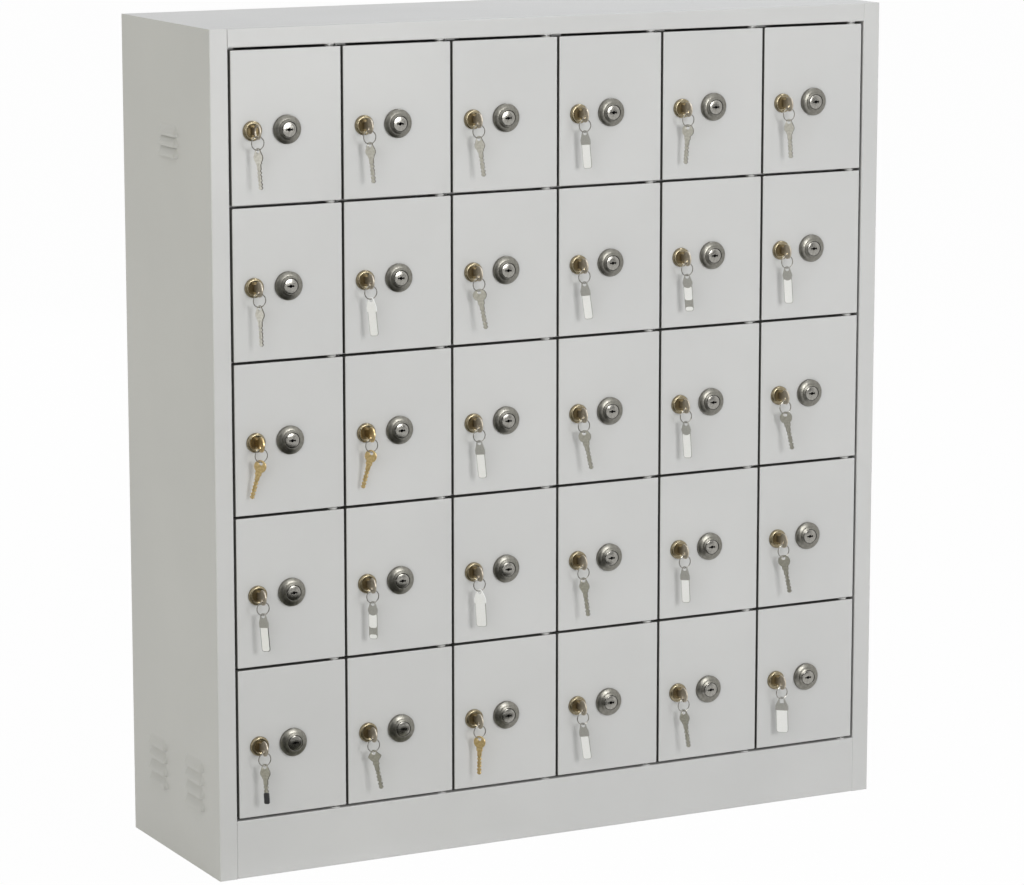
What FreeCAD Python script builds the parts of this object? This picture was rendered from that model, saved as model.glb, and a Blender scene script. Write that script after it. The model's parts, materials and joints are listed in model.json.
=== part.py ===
import FreeCAD, Part
import math
import os
import re

import Sketcher

# Driving dimensions in millimetres, counts and shares

DIMENSIONS = {
    # Whole cabinet
    "cabinet_width": 900,
    "cabinet_height": 1005,
    "cabinet_depth": 265,
    "column_count": 6,
    "row_count": 5,
    "stile_width": 23,
    "rail_height": 22,
    "plinth_height": 70.5,
    "door_gap": 3,
    # Carcass sheet metal
    "sheet": 1,
    "bend_radius": 1.5,
    "seat_clearance": 0.3,
    "strike_clearance": 1.2,
    "strike_width": 14,
    "plinth_return": 40,
    "plinth_foot": 20,
    "rear_flange": 15,
    "divider_rear_flange": 12,
    "back_panel_lift": 10,
    "swing_clearance": 2,
    "shelf_flange": 12,
    # Pressed louvres of the sides
    "louvre_radius": 7,
    "louvre_inset": 3,
    "louvre_straight": 39.4,
    "louvre_upper_share": 0.47,
    "louvre_upper_height": 848,
    "louvre_upper_pitch": 12.4,
    "louvre_front_share": 0.277,
    "louvre_rear_share": 0.702,
    "louvre_lower_height": 74,
    "louvre_lower_pitch": 16,
    # Doors and their pivots
    "door_sheet": 1.2,
    "door_depth": 16,
    "door_bend": 1.1,
    "pivot_inset": 12,
    "pivot_depth": 7,
    "pin_radius": 2.5,
    "pin_bite": 4,
    "lug_radius": 6,
    "lug_lap": 10,
    "bush_radius": 4,
    "bush_flange_radius": 5,
    "bush_flange": 0.7,
    "bush_length": 3,
    "running_fit": 0.05,
    "close_fit": 0.02,
    # Parts shared by both locks
    "lock_height_share": 0.48,
    "barrel_radius": 9.5,
    "barrel_clearance": 0.2,
    "nut_radius": 13.5,
    "nut_height": 4,
    "plug_radius": 6,
    "tail_radius": 3.5,
    "cam_sheet": 2,
    "cam_half_width": 6,
    "cam_boss_radius": 7,
    "cam_clearance": 1.6,
    "cam_overlap": 7,
    "barrel_relief": 0.6,
    "screw_head_radius": 4,
    "screw_head_height": 2.5,
    "screw_radius": 1.6,
    "screw_length": 5.5,
    # User lock
    "user_lock_offset": 26,
    "user_face_radius": 11.75,
    "user_face_proud": 4,
    "user_dish_radius": 6.9,
    "user_dish_depth": 1.5,
    # Control lock
    "rose_radius": 17,
    "rose_top_radius": 12.7,
    "rose_rim": 4,
    "rose_height": 6,
    "control_face_radius": 12.2,
    "control_face_proud": 8.2,
    "control_cap_radius": 8.8,
    "control_cap_height": 1.7,
    "control_keyway_length": 8.6,
    "control_keyway_width": 1.5,
    # Keys, ring and tags
    "key_sheet": 2,
    "key_reach": 21,
    "bow_radius": 9,
    "bow_hole_radius": 6,
    "still_hole_radius": 2.6,
    "shoulder_half_height": 4.4,
    "blade_half_height": 3.4,
    "blade_depth": 16,
    "ring_radius": 7.8,
    "ring_wire": 0.7,
    "ring_rest": 0.3,
    "hang_sheet": 1.8,
    "hang_hole_radius": 3.6,
    "hang_rim": 1.4,
    "spare_bow_radius": 7,
    "oval_bow_radius": 8.5,
    "spare_bow_length": 17,
    "spare_blade_half_width": 2.8,
    "spare_key_length": 48,
    "notch_size": 1.5,
    "notch_pitch": 4.4,
    "tag_sheet": 1.8,
    "tag_half_width": 5.4,
    "wide_tag_half_width": 7.6,
    "tag_length": 46,
}

# Sizes that follow from the driving ones

DERIVED = {
    "door_width": "(cabinet_width - 2 * stile_width - (column_count + 1) * door_gap) / column_count",
    "door_height": "(cabinet_height - rail_height - plinth_height - (row_count + 1) * door_gap) / row_count",
    "column_pitch": "door_width + door_gap",
    "row_pitch": "door_height + door_gap",
    "opening_height": "cabinet_height - rail_height - plinth_height",
    "left_edge": "-cabinet_width / 2",
    "front_face": "(user_face_proud + key_reach - cabinet_depth) / 2",
    "rail_return": "door_depth",
    "strike_setback": "door_depth + strike_clearance",
    "strike_back": "strike_setback + sheet",
    "shelf_setback": "pivot_depth + sqrt(pivot_inset^2 + (door_depth - pivot_depth)^2) + swing_clearance",
    "lug_length": "shelf_setback + lug_lap - pivot_depth",
    "pivot_offset": "door_width - pivot_inset",
    "lock_height": "door_height * lock_height_share",
    "control_lock_offset": "door_width / 2",
    "plug_bore": "plug_radius + running_fit",
    "strike_reach": "strike_width - door_gap - cam_overlap",
    "user_cam_setback": "strike_back + cam_clearance",
    "user_cam_length": "user_lock_offset - strike_reach",
    "user_barrel": "user_cam_setback - barrel_relief",
    "control_cam_setback": "user_cam_setback + cam_sheet + screw_head_height + cam_clearance",
    "control_cam_length": "control_lock_offset - strike_reach",
    "control_barrel": "control_cam_setback - barrel_relief",
    "pin_reach": "door_gap / 2 + door_sheet + pin_bite",
    "bow_centre": "key_reach - bow_radius",
    "ring_drop": "bow_hole_radius - ring_wire - ring_rest",
    "hang_drop": "ring_drop + 2 * ring_radius",
    "hang_hole_drop": "hang_hole_radius - ring_wire - ring_rest",
    "hang_top": "hang_hole_radius + hang_rim - hang_hole_drop",
}

# What hangs on each key ring, with its turn about the upright and its lean outwards in degrees, by row and column

HANGING = [
    [("key", 30, 5), ("key", 40, 6), ("key", 43, 8), ("tag", 42, 5), ("key", 36, -4), ("key", 43, 4)],
    [("key", 28, 3), ("tag", 40, 6), ("oval_key", 45, 11), ("tag", 45, 8), ("tag", 43, 5), ("tag", 43, 4)],
    [("key", 43, -16), ("key", 40, -15), ("tag", 41, 6), ("key", 50, 12), ("tag", 38, 4), ("key", 50, 12)],
    [("tag", 38, 5), ("tag", 43, 1), ("wide_tag", 40, 4), ("key", 44, 8), ("tag", 41, 3), ("key", 45, 11)],
    [("key", 43, 3), ("oval_key", 48, 12), ("key", 39, -1), ("tag", 46, 8), ("key", 41, 9), ("wide_tag", 43, 2)],
]

SAMPLE_DOOR = (1, 1)
UNTURNED = FreeCAD.Rotation()
ALONG = {
    "X": FreeCAD.Rotation(FreeCAD.Vector(0, 1, 0), 90),
    "Y": FreeCAD.Rotation(FreeCAD.Vector(1, 0, 0), -90),
    "Z": UNTURNED,
}

doc = FreeCAD.newDocument("phone_locker")
nodes = []

dims = doc.addObject("Spreadsheet::Sheet", "dims")
for line, (alias, value) in enumerate(DIMENSIONS.items(), start=1):
    dims.set(f"A{line}", alias.replace("_", " "))
    dims.set(f"B{line}", str(value))
    dims.setAlias(f"B{line}", alias)
doc.recompute()

OWNERS = {alias: "dims" for alias in DIMENSIONS}
OWNERS.update({name: "derived" for name in DERIVED})


def ex(formula):
    """Turns a formula in plain size names into an expression on the sheet and the derived sizes."""
    return re.sub(
        r"[a-z_]+",
        lambda found: f"{OWNERS[found.group()]}.{found.group()}" if found.group() in OWNERS else found.group(),
        str(formula),
    )


def bind(obj, formulas):
    """Binds each named property of an object to its formula."""
    for prop, formula in formulas.items():
        obj.setExpression(prop, ex(formula))


derived = doc.addObject("App::VarSet", "derived")
for name, formula in DERIVED.items():
    derived.addProperty("App::PropertyFloat", name)
    bind(derived, {name: formula})
doc.recompute()

COLUMNS = int(dims.get("column_count"))
ROWS = int(dims.get("row_count"))


# Primitives, booleans and copies


def place(obj, corner, turn=UNTURNED):
    """Turns an object and binds its position to three formulas."""
    obj.Placement = FreeCAD.Placement(FreeCAD.Vector(), turn)
    bind(obj, {f"Placement.Base.{axis}": formula for axis, formula in zip("xyz", corner)})
    return obj


def box(name, corner, size):
    """A block from its lowest corner and its three sizes."""
    obj = place(doc.addObject("Part::Box", name), corner)
    bind(obj, dict(zip(("Length", "Width", "Height"), size)))
    return obj


def cylinder(name, centre, radius, height, along="Z"):
    """A cylinder that starts at centre and runs along one axis."""
    obj = place(doc.addObject("Part::Cylinder", name), centre, ALONG[along])
    bind(obj, {"Radius": radius, "Height": height})
    return obj


def sphere(name, centre, radius):
    """A ball about a point."""
    obj = place(doc.addObject("Part::Sphere", name), centre)
    bind(obj, {"Radius": radius})
    return obj


def fuse(name, shapes):
    """One solid out of several that touch or overlap."""
    obj = doc.addObject("Part::MultiFuse", name)
    obj.Shapes = shapes
    obj.Refine = True
    return obj


def cut(name, base, tool):
    """The base with the tool taken away."""
    obj = doc.addObject("Part::Cut", name)
    obj.Base = base
    obj.Tool = tool
    obj.Refine = True
    return obj


def common(name, base, tool):
    """What the base and the tool share."""
    obj = doc.addObject("Part::Common", name)
    obj.Base = base
    obj.Tool = tool
    return obj


def group(name, links, corner=("0", "0", "0"), turn=UNTURNED):
    """Separate solids kept together, at a place of their own."""
    obj = doc.addObject("Part::Compound", name)
    obj.Links = links
    return place(obj, corner, turn)


def node(obj, label):
    """Names a finished sub-part, which is written to a file of that name."""
    obj.Label = label
    nodes.append(obj)
    return obj


def in_frame(x="0", y="0", z="0"):
    """Cabinet coordinates, from its lower left front corner, in the shared frame."""
    return (f"left_edge + {x}", f"front_face + {y}", z)


# Bodies with sketches


def new_body(name, corner=("0", "0", "0")):
    """An empty body at a place of its own."""
    return place(doc.addObject("PartDesign::Body", name), corner)


def new_sketch(body, plane, depth=None):
    """A sketch on one of the body's own planes, moved along the plane's normal by depth."""
    obj = body.newObject("Sketcher::SketchObject", f"{body.Name}_sketch")
    support = next(item for item in body.Origin.OriginFeatures if item.Role == f"{plane}_Plane")
    obj.AttachmentSupport = [(support, "")]
    obj.MapMode = "FlatFace"
    if depth is not None:
        bind(obj, {"AttachmentOffset.Base.z": depth})
    return obj


def pin_point(sketch, geometry, end, point):
    """Binds one point of a sketch to two formulas, or holds it on an axis where one is 0."""
    for axis, kind, formula in zip((-2, -1), ("DistanceX", "DistanceY"), point):
        if formula == "0":
            sketch.addConstraint(Sketcher.Constraint("PointOnObject", geometry, end, axis))
        else:
            value = float(sketch.evalExpression(ex(formula)))
            number = sketch.addConstraint(Sketcher.Constraint(kind, -1, 1, geometry, end, value))
            bind(sketch, {f"Constraints[{number}]": formula})


def outline(sketch, points):
    """A closed outline of straight lines through bound points."""
    places = [
        FreeCAD.Vector(*(float(sketch.evalExpression(ex(formula))) for formula in point)) for point in points
    ]
    count = len(places)
    for index in range(count):
        sketch.addGeometry(Part.LineSegment(places[index], places[(index + 1) % count]), False)
    for index in range(count):
        sketch.addConstraint(Sketcher.Constraint("Coincident", index, 2, (index + 1) % count, 1))
    for index, point in enumerate(points):
        pin_point(sketch, index, 1, point)
    return sketch


def rectangle(sketch, left, low, right, high):
    """A closed rectangle between four formulas."""
    return outline(sketch, [(left, low), (right, low), (right, high), (left, high)])


def circle(sketch, centre, radius):
    """A circle with a bound centre and radius."""
    places = [float(sketch.evalExpression(ex(formula))) for formula in (*centre, radius)]
    number = sketch.addGeometry(
        Part.Circle(FreeCAD.Vector(places[0], places[1], 0), FreeCAD.Vector(0, 0, 1), places[2]), False
    )
    pin_point(sketch, number, 3, centre)
    held = sketch.addConstraint(Sketcher.Constraint("Radius", number, places[2]))
    bind(sketch, {f"Constraints[{held}]": radius})
    return sketch


def pad(body, sketch, length, flip=False):
    """Material along the sketch's normal."""
    obj = body.newObject("PartDesign::Pad", f"{body.Name}_pad")
    obj.Profile = sketch
    obj.Reversed = flip
    bind(obj, {"Length": length})
    doc.recompute()
    return obj


def pocket(body, sketch, flip=False):
    """A recess through all the material on one side of the sketch."""
    obj = body.newObject("PartDesign::Pocket", f"{body.Name}_pocket")
    obj.Profile = sketch
    obj.Type = "ThroughAll"
    obj.Reversed = flip
    doc.recompute()
    return obj


def revolution(body, points, plane="XY"):
    """A turned solid about the sketch's upright axis."""
    obj = body.newObject("PartDesign::Revolution", f"{body.Name}_revolution")
    sketch = outline(new_sketch(body, plane), points)
    obj.Profile = sketch
    obj.ReferenceAxis = (sketch, ["V_Axis"])
    obj.Angle = 360
    doc.recompute()
    return obj


def fillet(body, feature, radius, wanted):
    """Rounds the edges of a feature whose midpoint passes the test."""
    edges = []
    for number, edge in enumerate(feature.Shape.Edges, start=1):
        middle = edge.valueAt((edge.FirstParameter + edge.LastParameter) / 2)
        if wanted(middle, edge):
            edges.append(f"Edge{number}")
    obj = body.newObject("PartDesign::Fillet", f"{body.Name}_fillet")
    obj.Base = (feature, edges)
    bind(obj, {"Radius": radius})
    doc.recompute()
    return obj


def size(formula):
    """The present value of a formula."""
    return float(dims.evalExpression(ex(formula)))


def near(first, second):
    """Whether two lengths agree."""
    return abs(first - second) < 1e-4


# Pressed louvres: a hood outside the sheet over a slot through it, mouth downwards


def capsule(name, radius):
    """A rod with ball ends, lying along Y behind the outer face of a side panel."""
    rod = cylinder(f"{name}_rod", ("louvre_inset", "0", "0"), radius, "louvre_straight", "Y")
    front = sphere(f"{name}_front", ("louvre_inset", "0", "0"), radius)
    rear = sphere(f"{name}_rear", ("louvre_inset", "louvre_straight", "0"), radius)
    return fuse(name, [rod, front, rear])


louvre_outer = capsule("louvre_outer", "louvre_radius")
louvre_inner = capsule("louvre_inner", "louvre_radius - sheet")
louvre_limit = box(
    "louvre_limit",
    ("-louvre_radius", "-2 * louvre_radius", "0"),
    ("louvre_radius + sheet", "louvre_straight + 4 * louvre_radius", "2 * louvre_radius"),
)
louvre_hood = common("louvre_hood", cut("louvre_shell", louvre_outer, louvre_inner), louvre_limit)
louvre_punch = common("louvre_punch", louvre_inner, louvre_limit)

LOUVRES = [
    (f"cabinet_depth * {share}_share - louvre_straight / 2", f"{group_name}_height + {index} * {group_name}_pitch")
    for share, group_name, count in (
        ("louvre_upper", "louvre_upper", 3),
        ("louvre_front", "louvre_lower", 4),
        ("louvre_rear", "louvre_lower", 4),
    )
    for index in range(count)
]


def louvre_set(name, master):
    """One copy of a louvre piece at every louvre place of the left side."""
    copies = [
        group(f"{name}_{number}", [master], ("0", depth, height))
        for number, (depth, height) in enumerate(LOUVRES, start=1)
    ]
    return group(name, copies)


def mirrored(name, source):
    """The same shape on the other side of the cabinet."""
    obj = doc.addObject("Part::Mirroring", name)
    obj.Source = source
    obj.Normal = FreeCAD.Vector(1, 0, 0)
    bind(obj, {"Base.x": "cabinet_width / 2"})
    return obj


hoods = louvre_set("louvre_hoods", louvre_hood)
punches = louvre_set("louvre_punches", louvre_punch)
mirrored_hoods = mirrored("louvre_hoods_mirrored", hoods)
mirrored_punches = mirrored("louvre_punches_mirrored", punches)


# Side panels: one folded sheet each, with the stile at the front


def folded_side(name, across):
    """The folded sheet of a side: web, stile, return and rear flange."""
    body = new_body(name)
    corners = [
        ("0", "0"),
        ("stile_width", "0"),
        ("stile_width", "strike_back"),
        ("stile_width - sheet", "strike_back"),
        ("stile_width - sheet", "sheet"),
        ("sheet", "sheet"),
        ("sheet", "cabinet_depth - sheet"),
        ("rear_flange", "cabinet_depth - sheet"),
        ("rear_flange", "cabinet_depth"),
        ("0", "cabinet_depth"),
    ]
    points = [(across(x), y) for x, y in corners]
    sheet_pad = pad(body, outline(new_sketch(body, "XY"), points), "cabinet_height")
    bends = [size(across("0")), size(across("stile_width"))]
    fillet(
        body,
        sheet_pad,
        "bend_radius",
        lambda middle, edge: near(middle.y, 0)
        and near(middle.z, size("cabinet_height / 2"))
        and any(near(middle.x, bend) for bend in bends),
    )
    return body


top_seat = box(
    "top_seat",
    ("sheet", "sheet", "cabinet_height - sheet"),
    ("cabinet_width - 2 * sheet", "cabinet_depth - 2 * sheet", "sheet"),
)
left_strike = box(
    "left_strike",
    ("stile_width", "strike_setback", "plinth_height"),
    ("strike_width", "sheet", "opening_height"),
)


def side_panel(label, folded, slots, shells, extra):
    """A folded side with its louvres pressed in and a seat for the top panel."""
    seated = cut(f"{label}_seated", folded, top_seat)
    slotted = cut(f"{label}_slotted", seated, slots)
    panel = fuse(f"{label}_whole", [slotted, shells, *extra])
    return node(place(panel, in_frame()), label)


side_panel(
    "left_side_panel",
    folded_side("left_fold", lambda x: x),
    punches,
    hoods,
    [left_strike],
)
side_panel(
    "right_side_panel",
    folded_side("right_fold", lambda x: f"cabinet_width - ({x})"),
    mirrored_punches,
    mirrored_hoods,
    [],
)

# Top, back, floor and plinth

rail_body = new_body("rail_fold", ("stile_width", "0", "cabinet_height - rail_height"))
rail_pad = pad(
    rail_body,
    outline(
        new_sketch(rail_body, "YZ"),
        [
            ("0", "0"),
            ("rail_return", "0"),
            ("rail_return", "sheet"),
            ("sheet", "sheet"),
            ("sheet", "rail_height - sheet"),
            ("rail_return", "rail_height - sheet"),
            ("rail_return", "rail_height"),
            ("0", "rail_height"),
        ],
    ),
    "cabinet_width - 2 * stile_width",
)
fillet(
    rail_body,
    rail_pad,
    "bend_radius",
    lambda middle, edge: near(middle.y, 0) and near(middle.x, size("cabinet_width / 2 - stile_width")),
)
top_plate = box(
    "top_plate",
    ("sheet", "sheet", "cabinet_height - sheet"),
    ("cabinet_width - 2 * sheet", "cabinet_depth - 2 * sheet", "sheet"),
)
node(place(fuse("top_whole", [rail_body, top_plate]), in_frame()), "top_panel")

node(
    box(
        "back_plate",
        in_frame("sheet", "cabinet_depth - 2 * sheet", "back_panel_lift"),
        ("cabinet_width - 2 * sheet", "sheet", "cabinet_height - sheet - back_panel_lift"),
    ),
    "back_panel",
)

floor_level = "plinth_height - 2 * sheet"
floor_front = "strike_back + seat_clearance"
floor_plate = box(
    "floor_plate",
    ("sheet", floor_front, floor_level),
    ("cabinet_width - 2 * sheet", f"cabinet_depth - 2 * sheet - ({floor_front})", "sheet"),
)
floor_tabs = [
    box(
        f"floor_tab_{number}",
        (left, "sheet", floor_level),
        ("stile_width - 2 * sheet", f"{floor_front} - sheet", "sheet"),
    )
    for number, left in enumerate(("sheet", "cabinet_width - stile_width + sheet"), start=1)
]
node(place(fuse("floor_whole", [floor_plate, *floor_tabs]), in_frame()), "floor_panel")

plinth_body = new_body("plinth_fold", in_frame("stile_width"))
plinth_pad = pad(
    plinth_body,
    outline(
        new_sketch(plinth_body, "YZ"),
        [
            ("0", "0"),
            ("plinth_foot", "0"),
            ("plinth_foot", "sheet"),
            ("sheet", "sheet"),
            ("sheet", "plinth_height - sheet"),
            ("plinth_return", "plinth_height - sheet"),
            ("plinth_return", "plinth_height"),
            ("0", "plinth_height"),
        ],
    ),
    "cabinet_width - 2 * stile_width",
)
fillet(
    plinth_body,
    plinth_pad,
    "bend_radius",
    lambda middle, edge: near(middle.y, 0) and near(middle.x, size("cabinet_width / 2 - stile_width")),
)
node(plinth_body, "plinth_panel")

# Dividers: a folded sheet behind each upright gap, with the strike of the next column


def gap_across(number):
    """The middle of an upright gap, counted from 0 at the left stile."""
    return f"stile_width + door_gap / 2 + {number} * column_pitch"


def gap_level(number):
    """The middle of a level gap, counted from 0 above the plinth."""
    return f"plinth_height + door_gap / 2 + {number} * row_pitch"


for number in range(1, COLUMNS):
    divider = new_body(
        f"divider_fold_{number}", in_frame(f"{gap_across(number)} - sheet / 2", "strike_setback", "plinth_height")
    )
    tongue = "strike_width - door_gap / 2 + sheet / 2"
    depth = "cabinet_depth - 2 * sheet - strike_setback"
    pad(
        divider,
        outline(
            new_sketch(divider, "XY"),
            [
                ("0", "0"),
                (tongue, "0"),
                (tongue, "sheet"),
                ("sheet", "sheet"),
                ("sheet", f"{depth} - sheet"),
                ("divider_rear_flange", f"{depth} - sheet"),
                ("divider_rear_flange", depth),
                ("0", depth),
            ],
        ),
        "cabinet_height - sheet - plinth_height",
    )
    node(divider, f"divider_{number}")

# Shelves: trays turned over, with a notch in the front flange for the hinge lug

SHELF_DEPTH = "cabinet_depth - 3 * sheet - shelf_setback"


def shelf(name, left, width):
    """A shelf from its left end, drawn at the level of the first gap above the plinth's."""
    level = "sheet * 1.5 - shelf_flange"
    outer = box(f"{name}_outer", (left, "shelf_setback", level), (width, SHELF_DEPTH, "shelf_flange"))
    inner = box(
        f"{name}_inner",
        (f"{left} + sheet", "shelf_setback + sheet", f"{level} - sheet"),
        (f"{width} - 2 * sheet", f"{SHELF_DEPTH} - 2 * sheet", "shelf_flange"),
    )
    return cut(f"{name}_tray", outer, inner)


def pivot_across(column):
    """The hinge axis of a column, counted from 1."""
    return f"stile_width + door_gap + {column - 1} * column_pitch + pivot_offset"


shelf_row = []
for column in range(1, COLUMNS + 1):
    left = "sheet" if column == 1 else f"{gap_across(column - 1)} + sheet / 2"
    right = "cabinet_width - sheet" if column == COLUMNS else f"{gap_across(column)} - sheet / 2"
    notch = box(
        f"shelf_notch_{column}",
        (f"{pivot_across(column)} - lug_radius - sheet", "shelf_setback - sheet", "-2.5 * sheet"),
        ("2 * lug_radius + 2 * sheet", "3 * sheet", "3 * sheet"),
    )
    tray = shelf(f"shelf_{column}", left, f"{right} - ({left})")
    shelf_row.append(cut(f"shelf_{column}_notched", tray, notch))

for number in range(1, ROWS):
    level = gap_level(ROWS - number)
    node(group(f"shelf_group_{number}", shelf_row, in_frame(z=level)), f"shelves_level_{number}")

# Hinge lugs and pivot pins in every level gap

lug_tip = cylinder("lug_tip", ("0", "pivot_depth", "0"), "lug_radius", "sheet")
lug_tongue = box("lug_tongue", ("-lug_radius", "pivot_depth", "0"), ("2 * lug_radius", "lug_length", "sheet"))
lug_hole = cylinder("lug_hole", ("0", "pivot_depth", "-sheet"), "pin_radius + close_fit", "3 * sheet")
lug = cut("lug", fuse("lug_blank", [lug_tip, lug_tongue]), lug_hole)
full_pin = cylinder("full_pin", ("0", "pivot_depth", "-pin_reach"), "pin_radius", "2 * pin_reach")
end_pin = cylinder("end_pin", ("0", "pivot_depth", "0"), "pin_radius", "pin_reach + door_gap / 2")

lugs = []
pins = []
for column in range(1, COLUMNS + 1):
    for number in range(ROWS + 1):
        if number == 0:
            lug_level = "plinth_height"
            pin_level = "plinth_height"
        elif number == ROWS:
            lug_level = "cabinet_height - rail_height - sheet"
            pin_level = "cabinet_height - rail_height - pin_reach - door_gap / 2"
        else:
            lug_level = f"{gap_level(number)} - sheet / 2"
            pin_level = gap_level(number)
        ends = number in (0, ROWS)
        spot = f"{column}_{number}"
        lugs.append(group(f"lug_{spot}", [lug], (pivot_across(column), "0", lug_level)))
        pins.append(
            group(f"pin_{spot}", [end_pin if ends else full_pin], (pivot_across(column), "0", pin_level))
        )
node(group("lug_group", lugs, in_frame()), "hinge_lugs")
node(group("pin_group", pins, in_frame()), "pivot_pins")

# Door panel: a shallow tray with two lock holes and two bush holes

door = new_body("door_tray")
door_pad = pad(door, rectangle(new_sketch(door, "XZ"), "0", "0", "door_width", "door_height"), "door_depth", True)
pocket(
    door,
    rectangle(
        new_sketch(door, "XZ", "-door_sheet"),
        "door_sheet",
        "door_sheet",
        "door_width - door_sheet",
        "door_height - door_sheet",
    ),
)
lock_holes = new_sketch(door, "XZ")
for across in ("user_lock_offset", "control_lock_offset"):
    circle(lock_holes, (across, "lock_height"), "barrel_radius + barrel_clearance")
pocket(door, lock_holes)
bush_holes = circle(new_sketch(door, "XY"), ("pivot_offset", "pivot_depth"), "bush_radius + close_fit")
door_pocket = pocket(door, bush_holes, True)
fillet(
    door,
    door_pocket,
    "door_bend",
    lambda middle, edge: near(middle.y, 0) and edge.Length > size("door_width / 2"),
)

bush = new_body("bush")
revolution(
    bush,
    [
        ("pin_radius + running_fit", "0"),
        ("bush_flange_radius", "0"),
        ("bush_flange_radius", "bush_flange"),
        ("bush_radius", "bush_flange"),
        ("bush_radius", "bush_flange + door_sheet + bush_length"),
        ("pin_radius + running_fit", "bush_flange + door_sheet + bush_length"),
    ],
    "XZ",
)
low_bush = group("low_bush", [bush], ("pivot_offset", "pivot_depth", "-bush_flange"))
high_bush = group(
    "high_bush",
    [bush],
    ("pivot_offset", "pivot_depth", "door_height + bush_flange"),
    FreeCAD.Rotation(FreeCAD.Vector(1, 0, 0), 180),
)

# Lock parts, drawn about the lock's axis with Y running inwards from the front of its face


def lock_nut(name, setback):
    """A hexagon nut behind the door sheet."""
    prism = place(doc.addObject("Part::Prism", f"{name}_hexagon"), ("0", setback, "0"), ALONG["Y"])
    prism.Polygon = 6
    bind(prism, {"Circumradius": "nut_radius", "Height": "nut_height"})
    hole = cylinder(
        f"{name}_hole", ("0", f"{setback} - 1", "0"), "barrel_radius + running_fit", "nut_height + 2", "Y"
    )
    return cut(name, prism, hole)


def lock_cam(name, setback, length):
    """A flat cam that hangs straight down from the plug's tail."""
    boss = cylinder(f"{name}_boss", ("0", setback, "0"), "cam_boss_radius", "cam_sheet", "Y")
    arm = box(
        f"{name}_arm",
        ("-cam_half_width", setback, f"cam_half_width - {length}"),
        ("2 * cam_half_width", "cam_sheet", f"{length} - cam_half_width"),
    )
    tip = cylinder(
        f"{name}_tip", ("0", setback, f"cam_half_width - {length}"), "cam_half_width", "cam_sheet", "Y"
    )
    hole = cylinder(
        f"{name}_hole", ("0", f"{setback} - 1", "0"), "tail_radius + close_fit", "cam_sheet + 2", "Y"
    )
    return cut(name, fuse(f"{name}_blank", [boss, arm, tip]), hole)


def cam_screw(name, setback):
    """The screw that holds a cam on its plug."""
    head = cylinder(f"{name}_head", ("0", setback, "0"), "screw_head_radius", "screw_head_height", "Y")
    shank = cylinder(
        f"{name}_shank",
        ("0", f"{setback} - screw_length", "0"),
        "screw_radius - close_fit",
        "screw_length + screw_head_height / 2",
        "Y",
    )
    return fuse(name, [head, shank])


def screw_bore(name, end):
    """The bore for the cam screw in the tail of a plug."""
    return cylinder(f"{name}_bore", ("0", f"{end} - screw_length - 1", "0"), "screw_radius", "screw_length + 2", "Y")


user_housing = new_body("user_housing")
revolution(
    user_housing,
    [
        ("plug_bore", "user_dish_depth"),
        ("user_dish_radius", "user_dish_depth"),
        ("user_dish_radius + 1.4", "user_dish_depth * 0.15"),
        ("user_dish_radius + 2.1", "0"),
        ("user_face_radius - 2.2", "0"),
        ("user_face_radius - 0.7", "user_face_proud * 0.17"),
        ("user_face_radius", "user_face_proud * 0.45"),
        ("user_face_radius", "user_face_proud"),
        ("barrel_radius", "user_face_proud"),
        ("barrel_radius", "user_face_proud + user_barrel"),
        ("plug_bore", "user_face_proud + user_barrel"),
    ],
)
USER_TAIL = "user_face_proud + user_cam_setback"
user_plug_body = new_body("user_plug_body")
revolution(
    user_plug_body,
    [
        ("0", "user_dish_depth"),
        ("plug_radius", "user_dish_depth"),
        ("plug_radius", USER_TAIL),
        ("tail_radius", USER_TAIL),
        ("tail_radius", f"{USER_TAIL} + cam_sheet - running_fit"),
        ("0", f"{USER_TAIL} + cam_sheet - running_fit"),
    ],
)
keyway = box(
    "user_keyway",
    ("-key_sheet / 2 - running_fit", "0", "-blade_half_height - running_fit"),
    (
        "key_sheet + 2 * running_fit",
        "blade_depth + running_fit",
        "2 * blade_half_height + 2 * running_fit",
    ),
)
user_plug = cut(
    "user_plug",
    user_plug_body,
    fuse("user_plug_tools", [keyway, screw_bore("user_screw", f"{USER_TAIL} + cam_sheet")]),
)
user_nut = lock_nut("user_nut", "user_face_proud + door_sheet")
user_cam = lock_cam("user_cam", USER_TAIL, "user_cam_length")
user_screw = cam_screw("user_screw", f"{USER_TAIL} + cam_sheet")

# The key that stands in the sample door's user lock: a flat key with a ring-shaped bow

key_bow = cylinder("key_bow", ("-key_sheet / 2", "-bow_centre", "0"), "bow_radius", "key_sheet", "X")
key_shoulder = box(
    "key_shoulder",
    ("-key_sheet / 2", "bow_hole_radius - bow_centre", "-shoulder_half_height"),
    ("key_sheet", "bow_centre - bow_hole_radius + user_dish_depth - seat_clearance", "2 * shoulder_half_height"),
)
key_blade = box(
    "key_blade",
    ("-key_sheet / 2", "-1", "-blade_half_height"),
    ("key_sheet", "blade_depth + 1 - seat_clearance", "2 * blade_half_height"),
)
bow_hole = cylinder(
    "bow_hole", ("-key_sheet", "-bow_centre", "0"), "bow_hole_radius", "2 * key_sheet", "X"
)
key_blank = fuse("lock_key_blank", [key_bow, key_shoulder, key_blade])
user_key = cut("lock_key", key_blank, bow_hole)

# The keys of the other doors stay still: a disc-shaped bow with a small hole for the ring

still_hole = cylinder(
    "still_hole",
    ("-key_sheet", "-bow_centre", "still_hole_radius - bow_hole_radius"),
    "still_hole_radius",
    "2 * key_sheet",
    "X",
)
still_key = cut("still_lock_key", key_blank, still_hole)

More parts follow.
